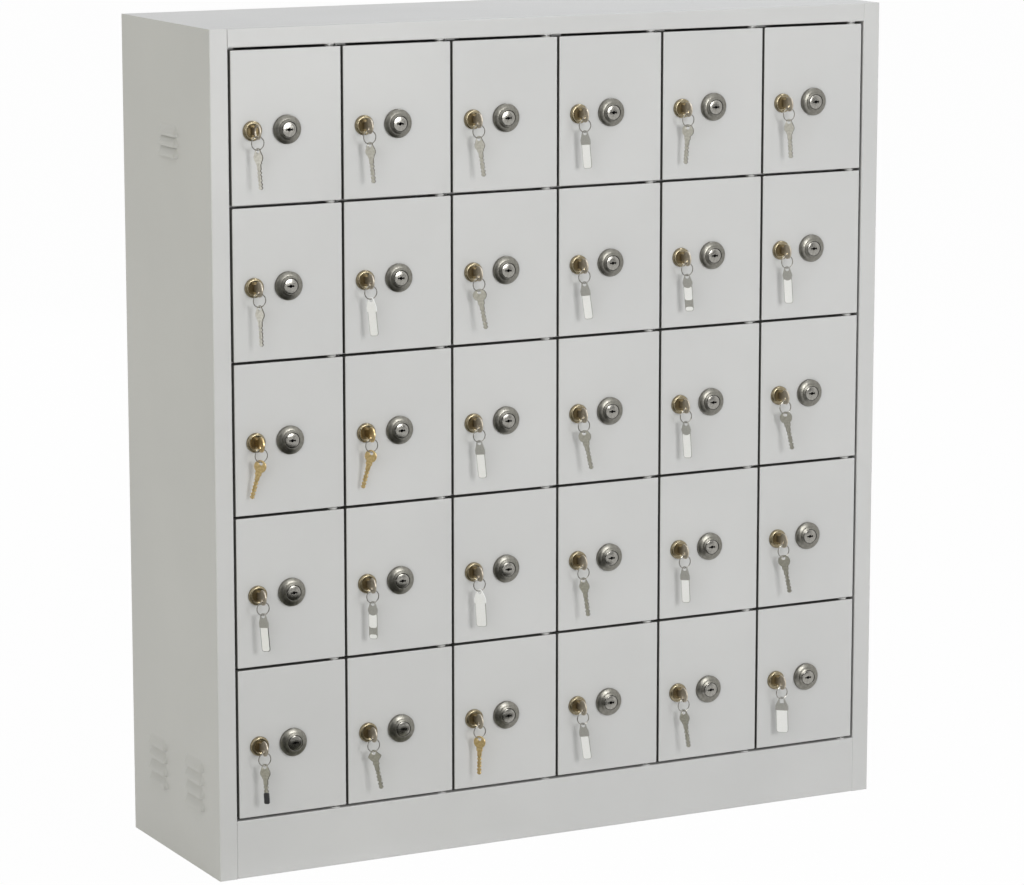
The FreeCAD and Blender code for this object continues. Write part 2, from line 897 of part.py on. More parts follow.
key_ring = place(
    doc.addObject("Part::Torus", "split_ring"), ("0", "-bow_centre", "-ring_drop - ring_radius"), ALONG["Y"]
)
bind(key_ring, {"Radius1": "ring_radius", "Radius2": "ring_wire"})

# Control lock: conical rose, housing and plug

control_rose = new_body("control_rose")
revolution(
    control_rose,
    [
        ("barrel_radius + barrel_clearance", "control_face_proud - rose_height"),
        ("rose_top_radius", "control_face_proud - rose_height"),
        ("rose_radius", "control_face_proud - rose_rim"),
        ("rose_radius", "control_face_proud"),
        ("barrel_radius + barrel_clearance", "control_face_proud"),
    ],
)
CAP_BACK = "running_fit * 4 + control_cap_height"
control_housing = new_body("control_housing")
revolution(
    control_housing,
    [
        ("plug_bore", CAP_BACK),
        ("control_cap_radius + barrel_clearance", CAP_BACK),
        ("control_cap_radius + barrel_clearance", "0.5"),
        ("control_cap_radius + barrel_clearance + 0.5", "0"),
        ("control_face_radius - 0.8", "0"),
        ("control_face_radius", "0.8"),
        ("control_face_radius", "control_face_proud - rose_height"),
        ("barrel_radius", "control_face_proud - rose_height"),
        ("barrel_radius", "control_face_proud + control_barrel"),
        ("plug_bore", "control_face_proud + control_barrel"),
    ],
)
CONTROL_TAIL = "control_face_proud + control_cam_setback"
control_plug_body = new_body("control_plug_body")
revolution(
    control_plug_body,
    [
        ("0", "running_fit * 4"),
        ("control_cap_radius", "running_fit * 4"),
        ("control_cap_radius", CAP_BACK),
        ("plug_radius", CAP_BACK),
        ("plug_radius", CONTROL_TAIL),
        ("tail_radius", CONTROL_TAIL),
        ("tail_radius", f"{CONTROL_TAIL} + cam_sheet - running_fit"),
        ("0", f"{CONTROL_TAIL} + cam_sheet - running_fit"),
    ],
)
control_slot = box(
    "control_slot",
    ("-control_keyway_length / 2", "-1", "-control_keyway_width / 2"),
    ("control_keyway_length", "blade_depth + 1", "control_keyway_width"),
)
control_core = cylinder("control_core", ("0", "-1", "0"), "control_keyway_width", "blade_depth + 1", "Y")
control_plug = cut(
    "control_plug",
    control_plug_body,
    fuse(
        "control_plug_tools",
        [control_slot, control_core, screw_bore("control_screw", f"{CONTROL_TAIL} + cam_sheet")],
    ),
)
control_nut = lock_nut("control_nut", "control_face_proud + door_sheet")
control_cam = lock_cam("control_cam", CONTROL_TAIL, "control_cam_length")
control_screw = cam_screw("control_screw", f"{CONTROL_TAIL} + cam_sheet")

# What hangs on the rings, drawn in the YZ plane about the lowest point of the ring's wire


def hang_hole(name, thickness):
    """The hole by which a key or tag hangs."""
    return cylinder(
        f"{name}_hole", (f"-{thickness}", "0", "-hang_hole_drop"), "hang_hole_radius", f"2 * {thickness}", "X"
    )


def spare_key(name, bow):
    """A flat key with a rounded bow and notches down one edge."""
    half = "-hang_sheet / 2"
    crown = cylinder(f"{name}_crown", (half, "0", f"hang_top - {bow}"), bow, "hang_sheet", "X")
    waist = cylinder(
        f"{name}_waist", (half, "0", f"hang_top - spare_bow_length + {bow} * 0.8"), f"{bow} * 0.8", "hang_sheet", "X"
    )
    blade = box(
        f"{name}_blade",
        (half, "-spare_blade_half_width", "hang_top - spare_key_length"),
        ("hang_sheet", "2 * spare_blade_half_width", "spare_key_length - spare_bow_length + 2"),
    )
    blank = fuse(f"{name}_blank", [crown, waist, blade])
    tools = [hang_hole(name, "hang_sheet")]
    for number in range(5):
        tools.append(
            cylinder(
                f"{name}_notch_{number}",
                (
                    "-hang_sheet",
                    "spare_blade_half_width + notch_size * 0.3",
                    f"hang_top - spare_key_length + 3 + {number} * notch_pitch",
                ),
                "notch_size",
                "2 * hang_sheet",
                "X",
            )
        )
    return cut(name, blank, group(f"{name}_tools", tools))


def tag(name, half_width):
    """A flat tag with a rounded head."""
    half = "-tag_sheet / 2"
    head = cylinder(f"{name}_head", (half, "0", f"hang_top - {half_width}"), half_width, "tag_sheet", "X")
    plate = box(
        f"{name}_plate",
        (half, f"-{half_width}", "hang_top - tag_length"),
        ("tag_sheet", f"2 * {half_width}", f"tag_length - {half_width}"),
    )
    return cut(name, fuse(f"{name}_blank", [head, plate]), hang_hole(name, "tag_sheet"))


HANGING_PIECES = {
    "key": spare_key("hanging_key", "spare_bow_radius"),
    "oval_key": spare_key("hanging_oval_key", "oval_bow_radius"),
    "tag": tag("slim_tag", "tag_half_width"),
    "wide_tag": tag("wide_tag", "wide_tag_half_width"),
}


def hang_turn(yaw, lean):
    """The turn of a hanging piece: a lean in its own plane, then a turn about the upright."""
    leant = FreeCAD.Rotation(FreeCAD.Vector(1, 0, 0), -lean)
    return FreeCAD.Rotation(FreeCAD.Vector(0, 0, 1), yaw).multiply(leant)


def wire_points():
    """Points round the lowest stretch of the ring's wire, from the middle of the wire at its lowest point."""
    radius, wire = DIMENSIONS["ring_radius"], DIMENSIONS["ring_wire"]
    for along in range(-24, 25, 2):
        swing = math.radians(along)
        for around in range(0, 360, 10):
            angle = math.radians(around)
            reach = radius + wire * math.cos(angle)
            yield FreeCAD.Vector(reach * math.sin(swing), wire * math.sin(angle), radius - reach * math.cos(swing))


def hang_lift(yaw, lean):
    """How much higher a turned and leaning piece hangs, so that its hole just clears the ring's wire."""
    hole, half = DIMENSIONS["hang_hole_radius"], DIMENSIONS["hang_sheet"] / 2
    drop = hole - DIMENSIONS["ring_wire"] - DIMENSIONS["ring_rest"]
    back = hang_turn(yaw, lean).inverted()
    points = list(wire_points())
    lift = 0.0
    while True:
        spots = [back.multVec(point - FreeCAD.Vector(0, 0, lift)) for point in points]
        if all(abs(spot.x) > half or math.hypot(spot.y, spot.z + drop) < hole - 0.01 for spot in spots):
            return lift
        lift += 0.02


def hang_at(yaw, lean):
    """The place of a hanging piece in the door's own coordinates."""
    across, out, level = HANG_AT
    return (across, out, f"{level} + {hang_lift(yaw, lean):.2f}")


# Lock sets in the door's own coordinates

USER_AT = ("user_lock_offset", "-user_face_proud", "lock_height")
CONTROL_AT = ("control_lock_offset", "-control_face_proud", "lock_height")
HANG_AT = ("user_lock_offset", "-user_face_proud - bow_centre", "lock_height - hang_drop")

user_lock = group(
    "user_lock",
    [user_housing, user_nut, user_plug, user_cam, user_screw, still_key, key_ring],
    USER_AT,
)
control_lock = group(
    "control_lock",
    [control_rose, control_housing, control_nut, control_plug, control_cam, control_screw],
    CONTROL_AT,
)


def door_corner(row, column, offset=("0", "0", "0")):
    """A point of a door, from the door's lower left front corner, in the shared frame."""
    across = f"stile_width + door_gap + {column - 1} * column_pitch + {offset[0]}"
    level = f"plinth_height + door_gap + {ROWS - row} * row_pitch + {offset[2]}"
    return in_frame(across, offset[1], level)


for row in range(1, ROWS + 1):
    for column in range(1, COLUMNS + 1):
        spot = f"r{row}_c{column}"
        kind, yaw, lean = HANGING[(row - 1) % len(HANGING)][(column - 1) % len(HANGING[0])]
        pieces = [door, low_bush, high_bush]
        if (row, column) != SAMPLE_DOOR:
            hanging = group(f"hanging_{spot}", [HANGING_PIECES[kind]], hang_at(yaw, lean), hang_turn(yaw, lean))
            pieces += [user_lock, control_lock, hanging]
        node(group(f"door_group_{spot}", pieces, door_corner(row, column)), f"door_{spot}")

# The sample door's lock parts are sub-parts of their own, because they move

SAMPLE_USER = door_corner(*SAMPLE_DOOR, USER_AT)
SAMPLE_CONTROL = door_corner(*SAMPLE_DOOR, CONTROL_AT)

for label, piece in (
    ("user_lock_housing", user_housing),
    ("user_lock_plug", user_plug),
    ("user_lock_cam", user_cam),
    ("user_cam_screw", user_screw),
    ("user_key", user_key),
    ("key_ring", key_ring),
):
    node(group(f"sample_{label}", [piece], SAMPLE_USER), label)
for label, piece in (
    ("control_lock_rose", control_rose),
    ("control_lock_housing", control_housing),
    ("control_lock_plug", control_plug),
    ("control_lock_cam", control_cam),
    ("control_cam_screw", control_screw),
):
    node(group(f"sample_{label}", [piece], SAMPLE_CONTROL), label)

nut_pair = [group("sample_user_nut", [user_nut], USER_AT), group("sample_control_nut", [control_nut], CONTROL_AT)]
node(group("sample_nuts", nut_pair, door_corner(*SAMPLE_DOOR)), "lock_nuts")

sample_kind, sample_yaw, sample_lean = HANGING[SAMPLE_DOOR[0] - 1][SAMPLE_DOOR[1] - 1]
node(
    group(
        "sample_spare_key",
        [HANGING_PIECES[sample_kind]],
        door_corner(*SAMPLE_DOOR, hang_at(sample_yaw, sample_lean)),
        hang_turn(sample_yaw, sample_lean),
    ),
    "spare_key",
)

# Checks before writing

doc.recompute()
for obj in doc.Objects:
    if "Invalid" in obj.State or "Error" in obj.State:
        raise RuntimeError(f"{obj.Name} did not compute: {obj.State}")
for obj in nodes:
    if obj.Shape.isNull() or not obj.Shape.isValid() or not obj.Shape.Solids:
        raise RuntimeError(f"{obj.Label} is not a valid shape")

os.makedirs("parts", exist_ok=True)
for obj in nodes:
    Part.makeCompound(obj.Shape.Solids).exportStep(f"parts/{obj.Label}.step")
    print(obj.Label, len(obj.Shape.Solids), round(obj.Shape.Volume / 1000, 3))
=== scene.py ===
import json
import logging
import math
from dataclasses import dataclass, field
from enum import Enum
from functools import cache
from typing import Sequence

import bmesh
import bpy
import numpy as np
from mathutils import Matrix, Vector
from mathutils.geometry import delaunay_2d_cdt

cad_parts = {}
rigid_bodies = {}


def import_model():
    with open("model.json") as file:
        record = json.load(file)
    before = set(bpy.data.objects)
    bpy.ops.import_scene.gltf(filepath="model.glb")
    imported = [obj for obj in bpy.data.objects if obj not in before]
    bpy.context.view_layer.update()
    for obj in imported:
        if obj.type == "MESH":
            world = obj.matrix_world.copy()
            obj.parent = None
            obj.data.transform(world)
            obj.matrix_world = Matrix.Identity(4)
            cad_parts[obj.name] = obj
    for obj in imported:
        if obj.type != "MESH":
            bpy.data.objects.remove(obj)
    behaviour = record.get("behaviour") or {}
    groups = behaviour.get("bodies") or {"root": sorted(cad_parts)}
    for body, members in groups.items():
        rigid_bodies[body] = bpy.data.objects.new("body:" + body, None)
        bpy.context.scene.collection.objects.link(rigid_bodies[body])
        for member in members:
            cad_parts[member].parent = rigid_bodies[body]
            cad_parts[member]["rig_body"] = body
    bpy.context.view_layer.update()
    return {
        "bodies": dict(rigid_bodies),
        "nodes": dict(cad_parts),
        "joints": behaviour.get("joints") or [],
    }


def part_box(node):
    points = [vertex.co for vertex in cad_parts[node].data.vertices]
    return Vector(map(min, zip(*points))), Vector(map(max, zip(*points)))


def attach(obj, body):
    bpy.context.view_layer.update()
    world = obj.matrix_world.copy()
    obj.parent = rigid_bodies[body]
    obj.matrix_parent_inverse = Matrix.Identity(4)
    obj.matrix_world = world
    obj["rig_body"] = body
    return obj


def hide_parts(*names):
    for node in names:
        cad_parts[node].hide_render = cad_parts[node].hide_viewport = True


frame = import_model()

# Lengths are in millimetres and become metres where a mesh is made

MM = 0.001
SAMPLE = "r1_c1"
SMOOTH_UNDER = math.radians(32)
ROUND_STEPS = 56
BARREL_STEPS = 36
SCREW_STEPS = 28
HOLE_STEPS = 24
BEND_STEPS = 9
CORNER_STEPS = 4
MERGE_DIGITS = 4
FILL_MERGE = 1e-5
CORNER_LIMIT = 0.5
PATTERN_LOW = 0.3
PATTERN_HIGH = 0.7
ORIGIN = (0.0, 0.0)
WHITE = (1.0, 1.0, 1.0)
LOG = logging.getLogger("phone_locker")

Point = tuple[float, float]
Place = tuple[float, float, float]
Colour = tuple[float, float, float]
Loop = list[Point]
Socket = bpy.types.NodeSocket
Sockets = dict[str | int, object]


# Finishes


class Coat(Enum):
    """What a face is made of or coated with, or the shade that is painted on it."""

    PAINT = "grey_powder_coat"
    # Near-black paint on the outside of the door flanges: painted shade in the gaps between doors
    EDGE = "door_edge_coat"
    BRASS = "bright_brass"
    # Rougher brass for the dish and plug, darker than the rim as painted shade in the recess
    BRASS_DISH_SHADE = "dull_brass"
    KEY_BRASS = "key_brass"
    KEY_NICKEL = "worn_key_nickel"
    # Dark nickel on the spare keys' outer edges: painted shade along their edges
    KEY_EDGE = "dark_key_edge"
    STEEL_SATIN = "satin_steel"
    STEEL_BRIGHT = "bright_steel"
    NICKEL = "nickel_plate"
    RING_STEEL = "ring_steel"
    ZINC = "zinc_plate"
    PIN_STEEL = "pin_steel"
    # Near-black painted shade for keyways, recesses, the control lock's groove and the louvre mouths
    SHADE = "keyway_shade"
    NYLON = "white_nylon"
    TAG_GREY = "tag_grey"
    TAG_WHITE = "tag_white"
    SHEATH = "black_sheath"


class Grain(Enum):
    """How the surface of a metal was worked."""

    TURNED = "turned"
    TUMBLED = "tumbled"


def feed(tree: bpy.types.NodeTree, node: bpy.types.Node, sockets: Sockets) -> None:
    """Feeds a node's inputs.

    Args:
        tree: the tree that the node is in.
        node: the node.
        sockets: for each input, the output to link to it or its constant.
    """
    for name, value in sockets.items():
        if isinstance(value, Socket):
            tree.links.new(value, node.inputs[name])
        else:
            node.inputs[name].default_value = value


def new_node(
    tree: bpy.types.NodeTree, kind: str, sockets: Sockets | None = None, **settings: object
) -> bpy.types.Node:
    """Adds a node to a tree.

    Args:
        tree: the tree.
        kind: the node's type name.
        sockets: what its inputs are fed with.
        settings: settings of the node, such as its operation.

    Returns:
        The new node.
    """
    node = tree.nodes.new(kind)
    for name, value in settings.items():
        setattr(node, name, value)
    feed(tree, node, sockets or {})
    return node


class Nodes:
    """A material's node tree with short ways to add patterns."""

    def __init__(self, name: str) -> None:
        """Starts a material with one Principled shader.

        Args:
            name: the material's name.
        """
        self.material = bpy.data.materials.new(name)
        self.material.use_nodes = True
        self.tree = self.material.node_tree
        self.tree.nodes.clear()
        self.shader = self.add("ShaderNodeBsdfPrincipled")
        self.output = self.add("ShaderNodeOutputMaterial", {"Surface": self.shader.outputs["BSDF"]})

    def add(self, kind: str, sockets: Sockets | None = None, **settings: object) -> bpy.types.Node:
        """Adds a node to the material."""
        return new_node(self.tree, kind, sockets, **settings)

    def dress(self, sockets: Sockets) -> None:
        """Feeds inputs of the shader."""
        feed(self.tree, self.shader, sockets)

    def place(self) -> Socket:
        """Gives the place in the cabinet, in metres."""
        return self.add("ShaderNodeTexCoord").outputs["Object"]

    def own_place(self) -> Socket:
        """Gives the place on the part itself, in millimetres."""
        return self.add("ShaderNodeAttribute", attribute_name="own").outputs["Vector"]

    def place_in_mm(self) -> Socket:
        """Gives the place in the cabinet, in millimetres."""
        scaled = self.add("ShaderNodeVectorMath", {0: self.place(), "Scale": 1.0 / MM}, operation="SCALE")
        return scaled.outputs["Vector"]

    def noise(self, vector: Socket, scale: float, detail: float = 2.0) -> Socket:
        """Gives a soft random pattern about 0.5, by its waves for each unit and its octaves."""
        sockets = {"Vector": vector, "Scale": scale, "Detail": detail}
        return self.add("ShaderNodeTexNoise", sockets).outputs["Fac"]

    def spread(self, value: Socket, low: float, high: float) -> Socket:
        """Maps the middle of a pattern onto a range.

        Args:
            value: the pattern.
            low: the result at the low end of its middle.
            high: the result at the high end.

        Returns:
            The mapped value.
        """
        sockets = {"From Min": PATTERN_LOW, "From Max": PATTERN_HIGH, "To Min": low, "To Max": high}
        sockets["Value"] = value
        return self.add("ShaderNodeMapRange", sockets).outputs["Result"]

    def mottle(self, pattern: Socket, first: Colour, second: Colour) -> None:
        """Colours the shader by a pattern.

        Args:
            pattern: the pattern.
            first: the colour where it is low.
            second: the colour where it is high.
        """
        sockets = {"Factor": self.spread(pattern, 0.0, 1.0), "A": (*first, 1.0), "B": (*second, 1.0)}
        mix = self.add("ShaderNodeMix", sockets, data_type="RGBA")
        self.dress({"Base Color": mix.outputs["Result"]})

    def relief(self, height: Socket, depth: float, share: float) -> None:
        """Raises the surface by a share of a pattern's depth, which is in metres."""
        bump = self.add("ShaderNodeBump", {"Height": height, "Distance": depth, "Strength": share})
        self.dress({"Normal": bump.outputs["Normal"]})


@dataclass(frozen=True)
class PowderCoat:
    """Baked powder paint with a fine orange peel."""

    light: Colour = (0.640, 0.640, 0.628)
    dark: Colour = (0.605, 0.606, 0.596)
    sheen_low: float = 0.28
    sheen_high: float = 0.38
    shine: float = 0.45
    cloud_scale: float = 5.0
    cloud_detail: float = 3.0
    peel_scale: float = 420.0
    peel_depth: float = 0.00012
    peel_share: float = 0.35

    def build(self, name: str) -> bpy.types.Material:
        """Makes the material.

        Args:
            name: its name.

        Returns:
            Paint with soft clouds of shade and a pebbled surface.
        """
        nodes = Nodes(name)
        place = nodes.place()
        nodes.mottle(nodes.noise(place, self.cloud_scale, self.cloud_detail), self.light, self.dark)
        peel = nodes.noise(place, self.peel_scale)
        sheen = nodes.spread(peel, self.sheen_low, self.sheen_high)
        nodes.dress({"Roughness": sheen, "Specular IOR Level": self.shine})
        nodes.relief(peel, self.peel_depth, self.peel_share)
        return nodes.material


@dataclass(frozen=True)
class Metal:
    """Bare or plated metal, worked in one of two ways."""

    clean: Colour
    stained: Colour
    smooth: float
    rough: float
    grain: Grain = Grain.TUMBLED
    groove_scale: float = 4.5
    mark_depth: float = 0.00003
    packed: bool = False
    groove_detail: float = 3.0
    mark_scale: float = 2.2
    mark_detail: float = 5.0
    mark_share: float = 0.5
    stain_scale: float = 0.35
    stain_detail: float = 4.0

    def build(self, name: str) -> bpy.types.Material:
        """Makes the material.

        Args:
            name: its name.

        Returns:
            Metal with stains, uneven polish and turning grooves or tumbling marks.
        """
        nodes = Nodes(name)
        own = nodes.place_in_mm() if self.packed else nodes.own_place()
        nodes.mottle(nodes.noise(own, self.stain_scale, self.stain_detail), self.clean, self.stained)
        if self.grain is Grain.TURNED:
            marks = self.grooves(nodes, own)
        else:
            marks = nodes.noise(own, self.mark_scale, self.mark_detail)
        nodes.dress({"Metallic": 1.0, "Roughness": nodes.spread(marks, self.smooth, self.rough)})
        nodes.relief(marks, self.mark_depth, self.mark_share)
        return nodes.material

    def grooves(self, nodes: Nodes, own: Socket) -> Socket:
        """Draws fine rings about the part's own axis.

        Args:
            nodes: the material's nodes.
            own: the place on the part.

        Returns:
            The height of the rings.
        """
        flat = nodes.add("ShaderNodeVectorMath", {0: own, 1: (1.0, 0.0, 1.0)}, operation="MULTIPLY")
        radius = nodes.add("ShaderNodeVectorMath", {0: flat.outputs["Vector"]}, operation="LENGTH")
        across = nodes.add("ShaderNodeCombineXYZ", {"X": radius.outputs["Value"]})
        return nodes.noise(across.outputs["Vector"], self.groove_scale, self.groove_detail)


@dataclass(frozen=True)
class Plastic:
    """Moulded plastic, or near-black painted shade for hollows and slots."""

    colour: Colour
    scuffed: Colour
    roughness: float
    shine: float = 0.5
    scuff_scale: float = 0.9
    scuff_detail: float = 4.0
    mould_scale: float = 3.0
    mould_depth: float = 0.00002
    mould_share: float = 0.3

    def build(self, name: str) -> bpy.types.Material:
        """Makes the material.

        Args:
            name: its name.

        Returns:
            Plastic with faint scuffs and a moulded surface.
        """
        nodes = Nodes(name)
        own = nodes.own_place()
        nodes.mottle(nodes.noise(own, self.scuff_scale, self.scuff_detail), self.colour, self.scuffed)
        nodes.relief(nodes.noise(own, self.mould_scale), self.mould_depth, self.mould_share)
        nodes.dress({"Roughness": self.roughness, "Specular IOR Level": self.shine})
        return nodes.material


FINISHES: dict[Coat, PowderCoat | Metal | Plastic] = {
    Coat.PAINT: PowderCoat(),
    # The door flanges' outer coat is near-black painted shade, so the gaps between doors read dark
    Coat.EDGE: PowderCoat((0.150, 0.150, 0.140), (0.115, 0.115, 0.106)),
    Coat.BRASS: Metal((0.36, 0.31, 0.21), (0.24, 0.20, 0.125), 0.20, 0.34, Grain.TURNED),
    # The dish brass is rougher, and darker than the rim as painted shade in the recess
    Coat.BRASS_DISH_SHADE: Metal((0.27, 0.21, 0.115), (0.17, 0.13, 0.065), 0.34, 0.52, Grain.TURNED),
    Coat.KEY_BRASS: Metal((0.88, 0.68, 0.36), (0.62, 0.45, 0.21), 0.24, 0.42),
    Coat.KEY_NICKEL: Metal((0.60, 0.54, 0.45), (0.46, 0.41, 0.33), 0.38, 0.56),
    Coat.STEEL_SATIN: Metal(
        (0.27, 0.262, 0.235), (0.18, 0.174, 0.150), 0.26, 0.42, Grain.TURNED, 6.0, mark_depth=0.00002
    ),
    Coat.STEEL_BRIGHT: Metal((0.38, 0.37, 0.34), (0.27, 0.26, 0.235), 0.16, 0.30, Grain.TURNED),
    Coat.NICKEL: Metal((0.72, 0.70, 0.635), (0.55, 0.53, 0.465), 0.24, 0.42),
    # The key edges' dark nickel is painted shade along the edges of the spare keys
    Coat.KEY_EDGE: Metal((0.20, 0.19, 0.16), (0.13, 0.12, 0.10), 0.30, 0.50),
    Coat.RING_STEEL: Metal((0.40, 0.39, 0.355), (0.27, 0.26, 0.23), 0.20, 0.36),
    Coat.ZINC: Metal((0.62, 0.63, 0.64), (0.46, 0.47, 0.49), 0.28, 0.45),
    Coat.PIN_STEEL: Metal((0.50, 0.50, 0.50), (0.36, 0.36, 0.37), 0.28, 0.45, packed=True),
    # Near-black painted shade for hollows
    Coat.SHADE: Plastic((0.012, 0.011, 0.010), (0.020, 0.018, 0.015), 0.7, 0.2),
    Coat.NYLON: Plastic((0.80, 0.80, 0.77), (0.72, 0.72, 0.68), 0.45),
    Coat.TAG_GREY: Plastic((0.38, 0.375, 0.35), (0.30, 0.295, 0.27), 0.36),
    Coat.TAG_WHITE: Plastic((0.92, 0.92, 0.91), (0.87, 0.87, 0.85), 0.42),
    Coat.SHEATH: Plastic((0.020, 0.020, 0.022), (0.035, 0.035, 0.037), 0.40),
}


@cache
def material(coat: Coat) -> bpy.types.Material:
    """Gives the material of a coat, made once."""
    return FINISHES[coat].build(coat.value)


# Outlines and solids


def turn(degrees: float, axis: str) -> Matrix:
    """Gives a turn about an axis."""
    return Matrix.Rotation(math.radians(degrees), 4, axis)


def circle(radius: float, steps: int = ROUND_STEPS, centre: Point = ORIGIN, up: float | None = None) -> Loop:
    """Gives a closed circle, counted against the clock, or an ellipse with a half height of its own."""
    return arc(centre, radius, 0.0, 360.0 * (steps - 1) / steps, steps, up)


def arc(
    centre: Point, radius: float, start: float, end: float, steps: int, up: float | None = None
) -> Loop:
    """Gives points along an arc.

    Args:
        centre: its centre.
        radius: its radius, or an ellipse's half width.
        start: the first angle in degrees.
        end: the last angle in degrees.
        steps: how many points.
        up: an ellipse's half height.

    Returns:
        The points, both ends included.
    """
    rise = radius if up is None else up
    angles = np.radians(np.linspace(start, end, steps))
    return [(centre[0] + radius * math.cos(a), centre[1] + rise * math.sin(a)) for a in angles]


def mirrored(side: Loop) -> Loop:
    """Gives the other half of an even outline, in the order that goes on from the first."""
    return [(-x, z) for x, z in reversed(side)]


def flipped(half: Loop) -> Loop:
    """Gives the upper half of an even outline that goes on from its lower half, or the reverse."""
    return [(x, -z) for x, z in reversed(half)]


def rounded(low: Point, high: Point, radius: float, steps: int = 6) -> Loop:
    """Gives a rectangle with round corners.

    Args:
        low: its lowest corner.
        high: its highest corner.
        radius: the corners' radius.
        steps: points on each corner.

    Returns:
        The closed outline.
    """
    corners = [
        ((high[0] - radius, high[1] - radius), 0.0),
        ((low[0] + radius, high[1] - radius), 90.0),
        ((low[0] + radius, low[1] + radius), 180.0),
        ((high[0] - radius, low[1] + radius), 270.0),
    ]
    return [point for centre, start in corners for point in arc(centre, radius, start, start + 90.0, steps)]


def shrunk(loop: Loop, by: float) -> Loop:
    """Moves an outline inwards.

    Args:
        loop: the closed outline, counted against the clock.
        by: the distance, negative to grow it.

    Returns:
        The moved outline, with as many points.
    """
    points = np.array(loop)
    ahead = np.roll(points, -1, axis=0) - points
    ahead /= np.linalg.norm(ahead, axis=1)[:, None]
    inward = np.stack([-ahead[:, 1], ahead[:, 0]], axis=1)
    bisector = inward + np.roll(inward, 1, axis=0)
    bisector /= np.maximum(np.sum(bisector * bisector, axis=1), CORNER_LIMIT)[:, None]
    return [tuple(point) for point in points + 2.0 * by * bisector]


def inside(points: np.ndarray, loop: Loop) -> np.ndarray:
    """Tells which points lie inside an outline.

    Args:
        points: the points to test.
        loop: the closed outline.

    Returns:
        True for each point inside.
    """
    held = np.zeros(len(points), bool)
    for (ax, ay), (bx, by) in zip(loop, loop[1:] + loop[:1]):
        crosses = (ay > points[:, 1]) != (by > points[:, 1])
        if crosses.any():
            at = ax + (points[:, 1] - ay) * (bx - ax) / (by - ay if by != ay else 1.0)
            held ^= crosses & (points[:, 0] < at)
    return held


def fill(outer: Loop, holes: Sequence[Loop] = ()) -> tuple[Loop, list[tuple[int, ...]]]:
    """Covers a flat outline with triangles.

    Args:
        outer: the closed outline.
        holes: outlines that are left open.

    Returns:
        The points and the triangles between them.
    """
    drawn: Loop = []
    edges: list[tuple[int, int]] = []
    for loop in (outer, *holes):
        start, count = len(drawn), len(loop)
        drawn += loop
        edges += [(start + k, start + (k + 1) % count) for k in range(count)]
    spots = [Vector(point) for point in drawn]
    placed, _, faces, origins, *_ = delaunay_2d_cdt(spots, edges, [], 0, FILL_MERGE)
    flat = [drawn[origin[0]] if origin else tuple(point) for point, origin in zip(placed, origins)]
    middles = np.array([np.mean([flat[k] for k in face], axis=0) for face in faces])
    kept = inside(middles, outer)
    for hole in holes:
        kept &= ~inside(middles, hole)
    return flat, [tuple(face) for face, keep in zip(faces, kept) if keep]


class Lie(Enum):
    """Which way a flat piece faces."""

    ACROSS = "x"
    FORWARD = "y"

    def at(self, point: Point, level: float) -> Place:
        """Places a point of a flat drawing in space.

        Args:
            point: the point in the drawing.
            level: its height above the drawing.

        Returns:
            The place in space.
        """
        if self is Lie.ACROSS:
            return (level, point[0], point[1])
        return (point[0], level, point[1])


